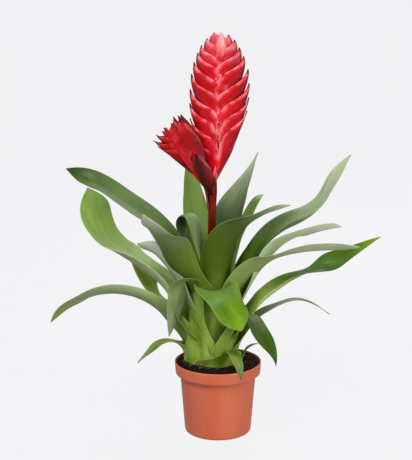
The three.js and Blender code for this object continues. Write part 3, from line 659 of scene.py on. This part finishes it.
def bract_skin(
    name, deep, middle, pale, point, roughness, rim_and_highlight_strength, tip_start, keel_strength=0.9, foot=None,
):
    """Stiff bract: saturated red, a pale rim that is partly painted highlight, painted shade below it, a
    dark point, and a thin coat that makes it look wet.
    """
    material, tree, shader = finish(
        name, IOR=1.45, Specular_IOR_Level=0.12, Coat_Weight=0.3, Coat_Roughness=0.14, Roughness=roughness,
    )
    share = add(tree, "UVMap", "UV", uv_map="share")
    across, up = (add(tree, "SeparateXYZ", axis, {"Vector": share}) for axis in "XY")
    beside = add(tree, "Math", 0, {0: across, 1: 0.5}, operation="SUBTRACT")
    beside = add(tree, "Math", 0, {0: beside}, operation="ABSOLUTE")
    inset = add(tree, "Attribute", "Fac", attribute_name="inset")
    where = add(tree, "TexCoord", "Object")
    height = add(tree, "SeparateXYZ", "Z", {"Vector": where})
    lines = strap_noise(tree, LINE_MM, LINE_RUN_MM)

    cloud = strap_noise(tree, 14, 20, 3.0)
    red = add(tree, "ValToRGB", "Color", {"Fac": cloud}, [(0.3, deep), (0.62, middle)])
    red = layer(tree, red, pale, lines, 0.55, 0.9, 0.0, 0.16)
    # Below the margin it deepens, as painted shade under the overlapping margin of the bract below.
    # Towards the top of the plant it pales.
    red = layer(tree, red, deep, inset, 7, 14, 0.0, 0.5)
    red = layer(tree, red, pale, height, PINK_FROM * MM, PINK_TO * MM, 0.0, 0.3)
    # Patches along the rim where it is painted paler as a highlight.
    highlight_patches = add(
        tree, "MapRange", "Result", {"Value": strap_noise(tree, 13, 12, 1.0)},
        From_Min=0.42, From_Max=0.6, To_Min=0.1, To_Max=1.0,
    )
    red = layer(tree, red, pale, inset, 0.2, RIM_AND_HIGHLIGHT_MM, rim_and_highlight_strength, 0.0, highlight_patches)
    if foot:
        red = layer(tree, red, foot, up, 0.05, 0.55, 1.0, 0.0)
        red = layer(tree, red, foot, beside, 0.16, 0.46, 0.0, 0.8)
    # The point is dark, and so is the keel in its outer half.
    red = layer(tree, red, point, up, tip_start, tip_start + 0.05, 0.0, 1.0)
    outer = add(
        tree, "MapRange", "Result", {"Value": up}, From_Min=0.1, From_Max=0.5, To_Min=0.5, To_Max=1.0,
    )
    red = layer(tree, red, point, beside, 0.08, 0.22, keel_strength, 0.0, outer)
    dents = strap_noise(tree, 6, 11, 1.0)
    relief = add(tree, "Math", 0, {0: dents, 1: 6.0, 2: lines}, operation="MULTIPLY_ADD")
    relief = add(tree, "Bump", "Normal", {"Height": relief}, Distance=0.16 * MM, Strength=0.5)
    feed(tree, shader, {"Base Color": red, "Normal": relief})
    return material


# The pale colour serves the faint lines, the paler young tops and the rim, where it is partly painted
# highlight.
spike_red = bract_skin(
    "bract_skin_scarlet_glossy", "#a4000a", "#c80414", "#fa7c88", "#68121f", 0.36, 0.9, 0.87,
)
young_red = bract_skin(
    "bract_skin_young_pink", "#dc505c", "#f08482", "#ffc4bc", "#8a2434", 0.4, 0.1, 0.96, 0.0, "#d01824",
)
side_red = bract_skin(
    "bract_skin_crimson_glossy", "#8a0004", "#ac0208", "#d83c48", "#581018", 0.36, 0.5, 0.8, 0.75,
)
print("bract reds made:", spike_red.name, side_red.name)

# %% [markdown]
# The two ranks stand at half steps to each other, so their margins cross in front of the stem like
# plaited hair: the lower one always lies outside. Low down, where the flowers have opened, the
# margins stand apart and the spike's middle shows. The spike's foot bends over to the stalk. Each
# bract is one line of readings: how far it reaches from the stem, the height of its tip and its
# length, in mm. The bract at the very top is made by the leaf function instead, because it turns its
# keel to the front and closes the spike like a hood.

# %% The two ranks of the main spike
SPIKE_AXIS = Vector((-0.4, 2, 0))
SPIKE_FOOT, FOOT_SHIFT, SHIFT_END = 346, 4.6, 392
BELLY, BELLY_OUT, BELLY_MORE = 0.33, 1.03, 0.5  # a keel bulges to the outline a third of the way down
RIGHT_BRACTS = [
    (26.5, 412, 66), (38.6, 444.5, 93), (41, 462, 96), (41.2, 480.4, 93), (39.6, 498.7, 83),
    (33.4, 515.7, 78), (27.6, 526.9, 70), (21, 537, 60), (13, 543.6, 52),
]
LEFT_BRACTS = [
    (31, 412, 66), (37.8, 434.7, 83), (38, 454.3, 92), (37.4, 472.6, 92), (35.6, 492.7, 84),
    (32, 508, 80), (27, 520.4, 72), (22, 530, 64), (14.5, 539, 55), (5, 546.4, 46),
]
TOP_BRACT = dict(
    at=Vector((3.2, 2, 0)), foot=(7.2, 511), wrap=0.6, az=266, length=36.5, width=20, taper=0.35,
    pitch=[86, 90, 96, 100, 104, 108], cup=[70, 66, 62, 60, 56, 50], free=(0, 1), rank=33, ripple=0,
    point=2.2,
)


def outline_at(bracts, z):
    """How far a rank of bracts reaches at height z: straight between their tips and down to the foot."""
    points = [(SPIKE_FOOT, 0)] + [(tip, reach) for reach, tip, _ in bracts]
    for (low, near), (high, far) in zip(points, points[1:]):
        if z <= high:
            return near + (far - near) * clamp01((z - low) / (high - low))
    return bracts[-1][0]


def on_spike(point):
    """Moves the foot of the spike over to the stalk, which comes up a little to its left."""
    shift = FOOT_SHIFT * (1 - smooth(SPIKE_FOOT, SHIFT_END, point.z))
    return point + SPIKE_AXIS - Vector((shift, 0, 0))


def inset_from_edges(bm, spec):
    """Gives each point its distance in mm from the nearer margin, as the folded bracts have."""
    inset = bm.verts.layers.float.new("inset")
    share = bm.loops.layers.uv["share"]
    for loop in corners(bm):
        across = loop[share].uv.x
        loop.vert[inset] = min(across, 1 - across) * spec["width"]


for label, side, bracts in (("right", 1, RIGHT_BRACTS), ("left", -1, LEFT_BRACTS)):
    for number, (reach, tip, length) in enumerate(bracts, start=1):
        bulge = outline_at(bracts, tip - length * BELLY) * BELLY_OUT + BELLY_MORE
        name = f"bract_{label}_{number:02d}"
        bm = bract_mesh(side, (reach, tip, length, bulge, BELLY), on_spike, gap=opened)
        thicken(piece(name + "_shell", bm, [spike_red], "spike_bract", name), BRACT_WALL * MM)
bm = leaf_mesh(TOP_BRACT, BRACT_ROWS, BRACT_COLUMNS)
inset_from_edges(bm, TOP_BRACT)
thicken(piece("bract_right_10_shell", bm, [young_red], "spike_bract", "bract_right_10"), BRACT_WALL * MM)
print("main spike has", len(RIGHT_BRACTS) + len(LEFT_BRACTS) + 1, "bracts")

# %% [markdown]
# ## The side spike
# A strong plant makes a second, smaller spike in the axil of a stalk bract. It is the main spike again
# at three quarters of the size, still young, so its bracts are shut and stand close together. They
# are drawn upright with the same function and then leant over as one: the last two readings of each
# say how far its keel bulges, and where.

# %% The side spike, leaning out of the axil of the stalk bract
SIDE_LEAN, SIDE_FORWARD = 34, 7
SIDE_SCALE, SIDE_APART = 0.72, 0.8
side_frame = (
    Matrix.Translation((-11, -3.5, 336))
    @ Matrix.Rotation(math.radians(-SIDE_LEAN), 4, "Y")
    @ Matrix.Rotation(math.radians(SIDE_FORWARD), 4, "X")
)
SIDE_BRACTS = [
    (-1, 23, 92, 80, 12.5, 0.35), (-1, 22.6, 101.5, 86, 17.5, 0.36),
    (-1, 15.6, 106, 78, 14.5, 0.33), (-1, 6.4, 106, 66, 9, 0.33), (-1, 2.4, 108, 60, 5, 0.33),
    (1, 28, 110, 92, 42, 0.64), (1, 24.6, 111, 85, 32, 0.5),
    (1, 18.7, 113.5, 77, 23, 0.4), (1, 11.2, 107.8, 62, 15, 0.33),
]


def side_place(side):
    return lambda point: side_frame @ (point - Vector((side * SIDE_APART, 0, 0)))


side_mesh = bpy.data.meshes.new("side_bracts")  # carries each bract over into one bmesh
side_bm = bmesh.new()
for side, *bract in SIDE_BRACTS:
    one = bract_mesh(side, bract, side_place(side), SIDE_SCALE)
    one.to_mesh(side_mesh)
    one.free()
    side_bm.from_mesh(side_mesh)
bpy.data.meshes.remove(side_mesh)
thicken(piece("side_spike_bracts", side_bm, [side_red], "side_spike", "side_spike"), BRACT_WALL * MM)
print("side spike has", len(SIDE_BRACTS), "bracts")

# %% [markdown]
# ## The stalk
# The stalk is a smooth round stem, dark red, with a joint where each bract leaves it. A circle of
# edges is extruded ring by ring up its path, which is the plainest way to make a stem that changes
# its width on the way.


# %% A round stem along a path
GIRTH = 35  # mm round the stalk, so that its pattern keeps its true size


def stem_mesh(path, segments=24):
    """path is a list of (x, y, z, radius) in mm, extruded ring by ring and closed at both ends."""
    bm, share, strap = mapped_bmesh()
    before = path[0]
    bmesh.ops.create_circle(
        bm, cap_ends=True, segments=segments, radius=before[3] * MM,
        matrix=Matrix.Translation(Vector(before[:3]) * MM),
    )
    ring = list(bm.edges)
    for after in path[1:]:
        made = bmesh.ops.extrude_edge_only(bm, edges=ring)["geom"]
        verts = [g for g in made if isinstance(g, bmesh.types.BMVert)]
        ring = [g for g in made if isinstance(g, bmesh.types.BMEdge)]
        old, new = Vector(before[:3]) * MM, Vector(after[:3]) * MM
        bmesh.ops.scale(bm, vec=(after[3] / before[3],) * 3, space=Matrix.Translation(-old), verts=verts)
        bmesh.ops.translate(bm, vec=new - old, verts=verts)
        before = after
    bmesh.ops.contextual_create(bm, geom=ring)
    bmesh.ops.recalc_face_normals(bm, faces=bm.faces)
    for loop in corners(bm):
        x, y, z = loop.vert.co
        around = math.atan2(y - CROWN.y * MM, x - CROWN.x * MM) / math.tau + 0.5
        loop[share].uv = (around, z)
        loop[strap].uv = (around * GIRTH * MM, z)
    return bm


STALK_PATH = [(-8, 2, 128.3), (-8.2, 2, 186), (-8.6, 2, 244), (-8.4, 2, 302), (-6, 2, 349), (-3, 2, 372)]
STALK_RADIUS, STALK_STEPS = 5.25, 40
STALK_JOINTS = [(336, 2.2, 0.35), (311, 2.5, 0.3)]  # height, spread and swelling of each, in mm
SLIMMER, SLIM_FROM, SLIM_TO = 3.4, 334, 372
stalk_rings = []
for step in range(STALK_STEPS + 1):
    t = step / STALK_STEPS
    x, y, z = (along([point[axis] for point in STALK_PATH], t) for axis in range(3))
    swell = sum(more * math.exp(-(((z - at) / spread) ** 2)) for at, spread, more in STALK_JOINTS)
    slim = SLIMMER * smooth(SLIM_FROM, SLIM_TO, z)
    stalk_rings.append((x, y, z, STALK_RADIUS + swell - slim))
print("stalk rises from", round(stalk_rings[0][2]), "to", round(stalk_rings[-1][2]), "mm")


# %% Stalk finish and piece
STREAK_MM, STREAK_RUN_MM = 1.8, 25


def stalk_skin():
    """Smooth waxy stem: a soft shine on dark red, with paler streaks up and down."""
    material, tree, shader = finish(
        "stalk_skin_dark_red_waxy", IOR=1.4, Specular_IOR_Level=0.15, Roughness=0.42,
    )
    streaks = strap_noise(tree, STREAK_MM, STREAK_RUN_MM)
    reds = [(0.3, "#480a05"), (0.55, "#6c120a"), (0.8, "#962a1c")]
    red = add(tree, "ValToRGB", "Color", {"Fac": streaks}, reds)
    relief = add(tree, "Bump", "Normal", {"Height": streaks}, Distance=0.1 * MM, Strength=0.5)
    feed(tree, shader, {"Base Color": red, "Normal": relief})
    return material


stalk_red = stalk_skin()
stalk = piece("stalk", stem_mesh(stalk_rings), [stalk_red], "flower_stalk", "flower_stalk")
side_stem_path = [
    tuple(side_frame @ Vector((x, y, z))) + (radius,)
    for z, x, y, radius in ((8, 4.4, 3.3, 1.2), (11, 3.4, 2.4, 2), (20, 1, 0.6, 2.3), (40, 0, 0, 1.4))
]
piece("side_spike_stem", stem_mesh(side_stem_path, 12), [stalk_red], "side_spike")
print("stalk has", len(stalk.data.polygons), "faces")

# %% [markdown]
# Where the lower flowers have opened, the bracts' margins stand apart, and the stem inside the spike
# shows with a few withered flowers on it. They could be modelled as petals, but here one is smaller
# than a point of the photograph, so each is a ball of a few faces, drawn out to a flake. The stem is
# as thick as the real one with its flower buds, so the flakes lie just behind the margins.

# %% The stem inside the spike and the withered flowers
CORE_RADIUS, CORE_Y = 6.8, 2
CORE_STATIONS = [
    (-3, 366, 2.4), (-1, 392, 4.4), (-0.6, 410, CORE_RADIUS), (-0.4, 450, CORE_RADIUS),
    (-0.4, 485, 2.4), (-0.4, 520, 1),
]
core_path = [(x, CORE_Y, z, radius) for x, z, radius in CORE_STATIONS]
piece("spike_core", stem_mesh(core_path, 16), [side_red], "flower_stalk")
WITHERED, FLAKE_RADIUS, FLAKE_PROUD = 50, 1.1, 0.4
WITHERED_FROM, WITHERED_RUN = 396, 58
wither = random.Random(4)
withered_bm = bmesh.new()
for number in range(WITHERED):
    z = WITHERED_FROM + WITHERED_RUN * number / WITHERED
    x = wither.uniform(-3.2, 2.6)
    turn = Matrix.Rotation(wither.uniform(-0.5, 0.5), 4, "Y")
    stretch = Matrix.Diagonal((0.7, 0.8, wither.uniform(1.4, 2.6), 1))
    front = CORE_Y - math.sqrt(CORE_RADIUS ** 2 - x * x) - FLAKE_PROUD
    place = Vector((x, front, z)) * MM
    bmesh.ops.create_icosphere(
        withered_bm, subdivisions=1, radius=FLAKE_RADIUS * MM,
        matrix=Matrix.Translation(place) @ turn @ stretch,
    )
print(WITHERED, "withered flowers on the stem inside the spike")


# %% Withered flower finish
PETAL_MM = (2.5, 2.5, 2.5)


def withered_petals():
    """Dried petals: thin and matt, from straw to rust, each of another shade."""
    material, tree, shader = finish("withered_petals_straw", IOR=1.4, Roughness=0.8)
    mottled(tree, shader, PETAL_MM, 2.0, [(0.35, "#b8281c"), (0.5, "#e86a50"), (0.62, "#f8c898")])
    return material


piece("withered_flowers", withered_bm, [withered_petals()], "spike_bract")
print("withered flowers run up to", WITHERED_FROM + WITHERED_RUN, "mm")

# %% [markdown]
# ## The bracts on the stalk
# Two more bracts sheathe the stalk, darker and duller than those of the spike. They hold the stem as
# a leaf's sheath holds the crown, so they are built by the leaf function, wrapped round the stalk in
# place of the crown, and given a thin pinkish rim.

# %% The two bracts on the stalk
STALK_BRACTS = [
    dict(at=Vector((-7.3, 2, 0)), foot=(6.5, 334), wrap=0.8, az=240, length=65, width=31, taper=0.3,
         pitch=[44, 58, 62, 66, 72, 78], swing=[0, -6, -14, -22, -26, -26], roll=[0, 10, 24, 36, 44, 50],
         cup=[60, 60, 56, 50, 45, 40], free=(7, 16), rank=31, ripple=0.2, point=2.6),
    dict(at=Vector((-8.5, 2, 0)), foot=(6.6, 312), az=163, length=66, width=15, taper=0.3,
         pitch=[88, 84, 74, 66, 58, 50], cup=[60, 60, 50, 45, 40, 30], free=(7, 16), rank=32, ripple=0.2),
]
STALK_BRACT_ROWS, STALK_BRACT_COLUMNS = 30, 14

bract_maroon = bract_skin(
    "bract_skin_maroon_satin", "#4e0608", "#7c0a0e", "#b44844", "#3c0a10", 0.46, 0.7, 0.9,
)
bract_rim = bract_skin(
    "bract_margin_pink_thin", "#8c4444", "#a86060", "#c88a84", "#6a3438", 0.45, 0.2, 0.9,
)
for number, spec in enumerate(STALK_BRACTS, start=1):
    name = f"stalk_bract_{number}"
    bm = leaf_mesh(spec, STALK_BRACT_ROWS, STALK_BRACT_COLUMNS)
    inset_from_edges(bm, spec)
    made = piece(name + "_blade", bm, [bract_maroon, bract_maroon, bract_rim], "stalk_bract", name)
    thicken(made, LEAF_THICKNESS * MM, levels=1, under=1, rim=2)
print(len(STALK_BRACTS), "bracts made on the stalk")

# %% [markdown]
# ## The pot
# A nursery pot is blown or moulded from thin polypropylene: a plain tapered cup, a deep rim band that
# lets pots stack, and holes in the base. Its wall is one profile turned about the axis, so the
# profile is drawn once as a few vertices and spun. The floor with its holes is a filled outline.

# %% The pot's wall
MERGE_MM = 0.01  # points closer than this become one


def turned(profile, steps, cuts=0):
    """Spins a profile of (radius, height) in mm about the upright axis. cuts divide its first edge."""
    bm = bmesh.new()
    verts = [bm.verts.new((r * MM, 0, z * MM)) for r, z in profile]
    edges = [bm.edges.new(pair) for pair in zip(verts, verts[1:])]
    if cuts:
        bmesh.ops.subdivide_edges(bm, edges=edges[:1], cuts=cuts)
    bmesh.ops.spin(
        bm, geom=bm.verts[:] + bm.edges[:], axis=(0, 0, 1), cent=(0, 0, 0), angle=math.tau,
        steps=steps, use_merge=True,
    )
    bmesh.ops.remove_doubles(bm, verts=bm.verts, dist=MERGE_MM * MM)
    return bm


POT_HEIGHT, BAND_Z = 100, 84
POT_SEGMENTS = 128
# From the edge of the floor up the outside and back down the inside.
wall_profile = [
    (41, 0), (43.4, 0.2), (44.9, 1.1), (45.7, 2.8), (46, 4.6), (51.7, BAND_Z - 6.5),
    (52.1, BAND_Z - 3.6), (53.2, BAND_Z - 2), (57, BAND_Z - 0.8), (58.2, BAND_Z + 0.2),
    (58.5, BAND_Z + 1.6), (59.5, POT_HEIGHT - 1.6), (59.5, POT_HEIGHT - 0.5), (59, POT_HEIGHT),
    (58.3, POT_HEIGHT), (57.9, POT_HEIGHT - 0.6), (57.1, BAND_Z + 1.5), (56, BAND_Z + 0.2),
    (51.4, BAND_Z - 2), (50.7, BAND_Z - 5), (44.7, 5), (43.9, 2.8), (41, 2),
]
pot_bm = turned(wall_profile, POT_SEGMENTS)
print("pot wall has", len(pot_bm.faces), "faces")

# %% The pot's floor with its drain holes
DRAIN_HOLES, DRAIN_RADIUS, DRAIN_CIRCLE, DRAIN_SEGMENTS = 6, 4.5, 32, 20
FLOOR_THICKNESS = 2
floor_rims = [e for e in pot_bm.edges if e.is_boundary]
low_rim = [e for e in floor_rims if e.verts[0].co.z < FLOOR_THICKNESS / 2 * MM]
high_rim = [e for e in floor_rims if e.verts[0].co.z > FLOOR_THICKNESS / 2 * MM]
hole_rings = []
for rim, z in ((low_rim, 0), (high_rim, FLOOR_THICKNESS)):
    for hole in range(DRAIN_HOLES):
        a = (hole + 0.5) / DRAIN_HOLES * math.tau
        centre = Vector((DRAIN_CIRCLE * math.cos(a), DRAIN_CIRCLE * math.sin(a), z)) * MM
        ring = bmesh.ops.create_circle(
            pot_bm, cap_ends=False, segments=DRAIN_SEGMENTS, radius=DRAIN_RADIUS * MM,
            matrix=Matrix.Translation(centre),
        )["verts"]
        hole_rings.append(list({e for v in ring for e in v.link_edges}))
    rings = [e for ring in hole_rings[-DRAIN_HOLES:] for e in ring]
    bmesh.ops.triangle_fill(pot_bm, use_beauty=True, use_dissolve=False, edges=rim + rings)
for low, high in zip(hole_rings[:DRAIN_HOLES], hole_rings[DRAIN_HOLES:]):
    bmesh.ops.bridge_loops(pot_bm, edges=low + high)
bmesh.ops.recalc_face_normals(pot_bm, faces=pot_bm.faces)
print("open edges left on the pot:", len([e for e in pot_bm.edges if not e.is_manifold]))


# %% Pot finish
FLOW_MM = (1000 / 28, 1000 / 28, 1000 / 9)  # clouds about three times as long as wide, as the melt flowed
GRAIN_MM = 0.9


def pot_plastic():
    """Moulded polypropylene in terracotta brown-red: satin, faintly streaked, a little dusty."""
    material, tree, shader = finish("polypropylene_terracotta_satin", IOR=1.49, Roughness=0.42)
    cloud = mottled(tree, shader, FLOW_MM, 4.0, [(0.3, "#c45e3c"), (0.5, "#cc6442"), (0.72, "#d26c4c")])
    gloss = add(
        tree, "MapRange", "Result", {"Value": cloud},
        From_Min=0.3, From_Max=0.7, To_Min=0.36, To_Max=0.5,
    )
    where = add(tree, "TexCoord", "Object")
    grain = add(tree, "TexNoise", "Fac", {"Vector": where}, Scale=1 / (GRAIN_MM * MM), Detail=2.0)
    relief = add(tree, "Bump", "Normal", {"Height": grain}, Distance=0.06 * MM, Strength=0.4)
    feed(tree, shader, {"Roughness": gloss, "Normal": relief})
    return material


pot = piece("pot_shell", pot_bm, [pot_plastic()], "pot", "pot")
print("pot stands", round(max(v.co.z for v in pot.data.vertices) / MM), "mm high")

# %% [markdown]
# ## The potting mix
# Peat-based mix is nearly black when damp, lumpy and matt. Its surface is a disc of rings pushed up
# and down by noise, mounded round the plant's foot. Loose crumbs, a few hundred of them, lie on
# it. Each is a ball of twenty faces, knocked out of shape, so that they stay cheap.

# %% The mix
SOIL_EDGE_Z, SOIL_MOUND_Z = 96.5, 102.6
MOUND_TOP, MOUND_FOOT = 30, 50  # mm from the crown between which the mound falls away
CROWNED, CROWN_FLAT, CROWN_EDGE = 1.2, 46, 57  # the mix also sinks a little towards the rim
SOIL_RADIUS, HELD_FROM = 57.2, 56  # the last millimetre beside the pot stays level
SOIL_LUMP, LUMP_MM = 1.5, 7
SOIL_RINGS, SOIL_SEGMENTS = 40, 120
SURFACE_FROM = 95.9  # the profile's points above this height are the surface


def soil_height(x, y):
    """Height of the mix in mm under a point in mm, without its lumps."""
    out = math.hypot(x - CROWN.x, y - CROWN.y)
    edge = math.hypot(x, y)
    mound = (SOIL_MOUND_Z - SOIL_EDGE_Z) * (1 - smooth(MOUND_TOP, MOUND_FOOT, out))
    return SOIL_EDGE_Z + mound + CROWNED * (1 - smooth(CROWN_FLAT, CROWN_EDGE, edge))


def lump(x, y):
    """How far a lump lifts the mix at a point, in mm: nothing beside the pot's wall."""
    loose = 1 - smooth(HELD_FROM, SOIL_RADIUS, math.hypot(x, y))
    return loose * SOIL_LUMP * noise.fractal(Vector((x, y, 3)) / LUMP_MM, 0.9, 2.1, 3)


soil_profile = [
    (0, 100), (SOIL_RADIUS, 96), (SOIL_RADIUS, 92), (SOIL_RADIUS, BAND_Z + 2), (50.2, BAND_Z - 4),
    (44.2, 6), (41, 2.5), (0, 2.5),
]
soil_bm = turned(soil_profile, SOIL_SEGMENTS, SOIL_RINGS)
bmesh.ops.recalc_face_normals(soil_bm, faces=soil_bm.faces)
for vert in soil_bm.verts:
    x, y, z = vert.co / MM
    if z > SURFACE_FROM:
        vert.co.z = (soil_height(x, y) + lump(x, y)) * MM
print("mix surface has", len(soil_bm.faces), "faces")


# %% Mix finish
CRUMB_MM, SPECK_MM = (3.2, 3.2, 3.2), 2.2


def peat(name, dark, brown, fibre):
    """Damp peat mix: nearly black and matt, so it swallows light, with brown fibres."""
    material, tree, shader = finish(name, IOR=1.35, Roughness=0.95, Specular_IOR_Level=0.25)
    mottled(tree, shader, CRUMB_MM, 6.0, [(0.35, dark), (0.62, brown), (0.8, fibre)])
    where = add(tree, "TexCoord", "Object")
    speck = add(tree, "TexVoronoi", "Distance", {"Vector": where}, Scale=1 / (SPECK_MM * MM))
    feed(tree, shader, {
        "Normal": add(tree, "Bump", "Normal", {"Height": speck}, Distance=0.8 * MM, Strength=0.8),
    })
    return material


peat_finish = peat("potting_mix_damp_peat", "#120a08", "#23140f", "#3d261b")
crumb_finish = peat("potting_mix_crumb", "#170d0a", "#2c1a13", "#4a3022")
grit_finish = peat("potting_mix_pale_grit", "#7a5a4c", "#a5816f", "#c7a896")
piece("potting_mix", soil_bm, [peat_finish], "soil", "soil")
print("mix is finished in", peat_finish.name)

# %% Loose crumbs on the mix
CRUMBS, CRUMB_REACH, CRUMB_SIZES = 620, 57.4, (0.7, 0.9, 1.1, 1.5, 2.0)
DENTED, SUNK, PALE_SHARE = 0.22, 0.15, 0.03
draw = random.Random(11)
crumb_bm = bmesh.new()
for number in range(CRUMBS):
    a = draw.uniform(0, math.tau)
    out = CRUMB_REACH * math.sqrt(draw.uniform(0.06, 1.0))
    x, y = out * math.cos(a), out * math.sin(a)
    size = draw.choice(CRUMB_SIZES)
    turn = Matrix.Rotation(draw.uniform(0, math.tau), 4, Vector((draw.random(), draw.random(), 1)))
    squash = Matrix.Diagonal((draw.uniform(0.7, 1.4), draw.uniform(0.6, 1.1), draw.uniform(0.5, 0.9), 1))
    height = soil_height(x, y) + lump(x, y) + size * SUNK
    ball = bmesh.ops.create_icosphere(
        crumb_bm, subdivisions=1, radius=size * MM,
        matrix=Matrix.Translation(Vector((x, y, height)) * MM) @ turn @ squash,
    )["verts"]
    for vert in ball:
        vert.co += Vector([draw.uniform(-DENTED, DENTED) * size * MM for _ in range(3)])
    pale = draw.random() < PALE_SHARE
    for face in {f for v in ball for f in v.link_faces}:
        face.material_index = 1 if pale else 0
piece("mix_crumbs", crumb_bm, [crumb_finish, grit_finish], "soil")
print(CRUMBS, "crumbs lie on the mix")

# %% [markdown]
# ## The crown
# The crown is a short woody stem wrapped in the dry fibres of old leaf feet. It could be made again as
# a fine mesh, but the leaves hide all of it except a sliver at the mix, so it keeps its CAD solid and
# only gets its own finish.

# %% Crown finish
FIBRE_MM = (1.5, 1.5, 14)


def crown_fibre():
    """Old leaf feet round a woody stem: dull brown fibres that run up it."""
    material, tree, shader = finish("crown_dry_leaf_fibre", IOR=1.4, Roughness=0.85)
    fibre = mottled(tree, shader, FIBRE_MM, 3.0, [(0.3, "#2c2414"), (0.7, "#5e5430")])
    feed(tree, shader, {
        "Normal": add(tree, "Bump", "Normal", {"Height": fibre}, Distance=0.3 * MM, Strength=0.6),
    })
    return material


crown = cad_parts["crown"]
crown.data.materials.clear()
crown.data.materials.append(crown_fibre())
print("crown keeps its CAD solid")

# %% [markdown]
# ## The studio
# A pale sweep and big soft lights, as in a catalogue photograph: a key from the upper left front, a
# fill from the right, a light from behind that edges the leaves, and an even pale sky that keeps the
# shadows open. A curved backdrop would do too, but one wide disc stays pale in every view.

# %% The floor
PAPER_GLOW = 0.87  # the paper is lit evenly from behind, so little of its light depends on the lamps
PAPER_MM = (25, 25, 25)
FLOOR_RADIUS = 60


def studio_paper():
    """Seamless paper, lit evenly from behind: matt, almost white, very slightly cool."""
    material, tree, shader = finish(
        "studio_paper_matt", Roughness=0.9, Specular_IOR_Level=0.1, Emission_Strength=PAPER_GLOW,
    )
    feed(tree, shader, {"Emission Color": "#fdfdff"})
    mottled(tree, shader, PAPER_MM, 2.0, [(0.3, "#28282a"), (0.7, "#2e2e30")])
    return material


floor_bm = bmesh.new()
bmesh.ops.create_circle(floor_bm, cap_ends=True, segments=64, radius=FLOOR_RADIUS)
studio_floor = placed("studio_floor", floor_bm, [studio_paper()])
studio_floor.visible_diffuse = False  # its glow doesn't wash out the reds and the shaded leaves
studio_floor.visible_glossy = False
print("the floor reaches", FLOOR_RADIUS, "m out")


# %% Lights and sky
def soft_light(name, place, target, size, power):
    """A square lamp of the given size in metres and power in watts, turned towards target."""
    data = bpy.data.lights.new(name, "AREA")
    data.size = size
    data.energy = power
    made = bpy.data.objects.new(name, data)
    made.location = place
    made.rotation_euler = (Vector(target) - Vector(place)).to_track_quat("-Z", "Y").to_euler()
    bpy.context.scene.collection.objects.link(made)


MIDDLE = (0, 0, 0.3)
SKY_STRENGTH = 0.44
soft_light("key", (-0.6, -1.3, 1.9), MIDDLE, 1.0, 42)
soft_light("fill", (1.4, -1.5, 0.7), MIDDLE, 1.4, 24)
soft_light("back", (0.5, 1.4, 1.6), MIDDLE, 1.4, 30)
world = bpy.data.worlds.new("studio_sky")
world.use_nodes = True
world.node_tree.nodes["Background"].inputs["Color"].default_value = linear("#f4f5f8")
world.node_tree.nodes["Background"].inputs["Strength"].default_value = SKY_STRENGTH
bpy.context.scene.world = world
bpy.context.scene.view_settings.view_transform = "Standard"
print("studio lit by", len(bpy.data.lights), "lamps and the sky")
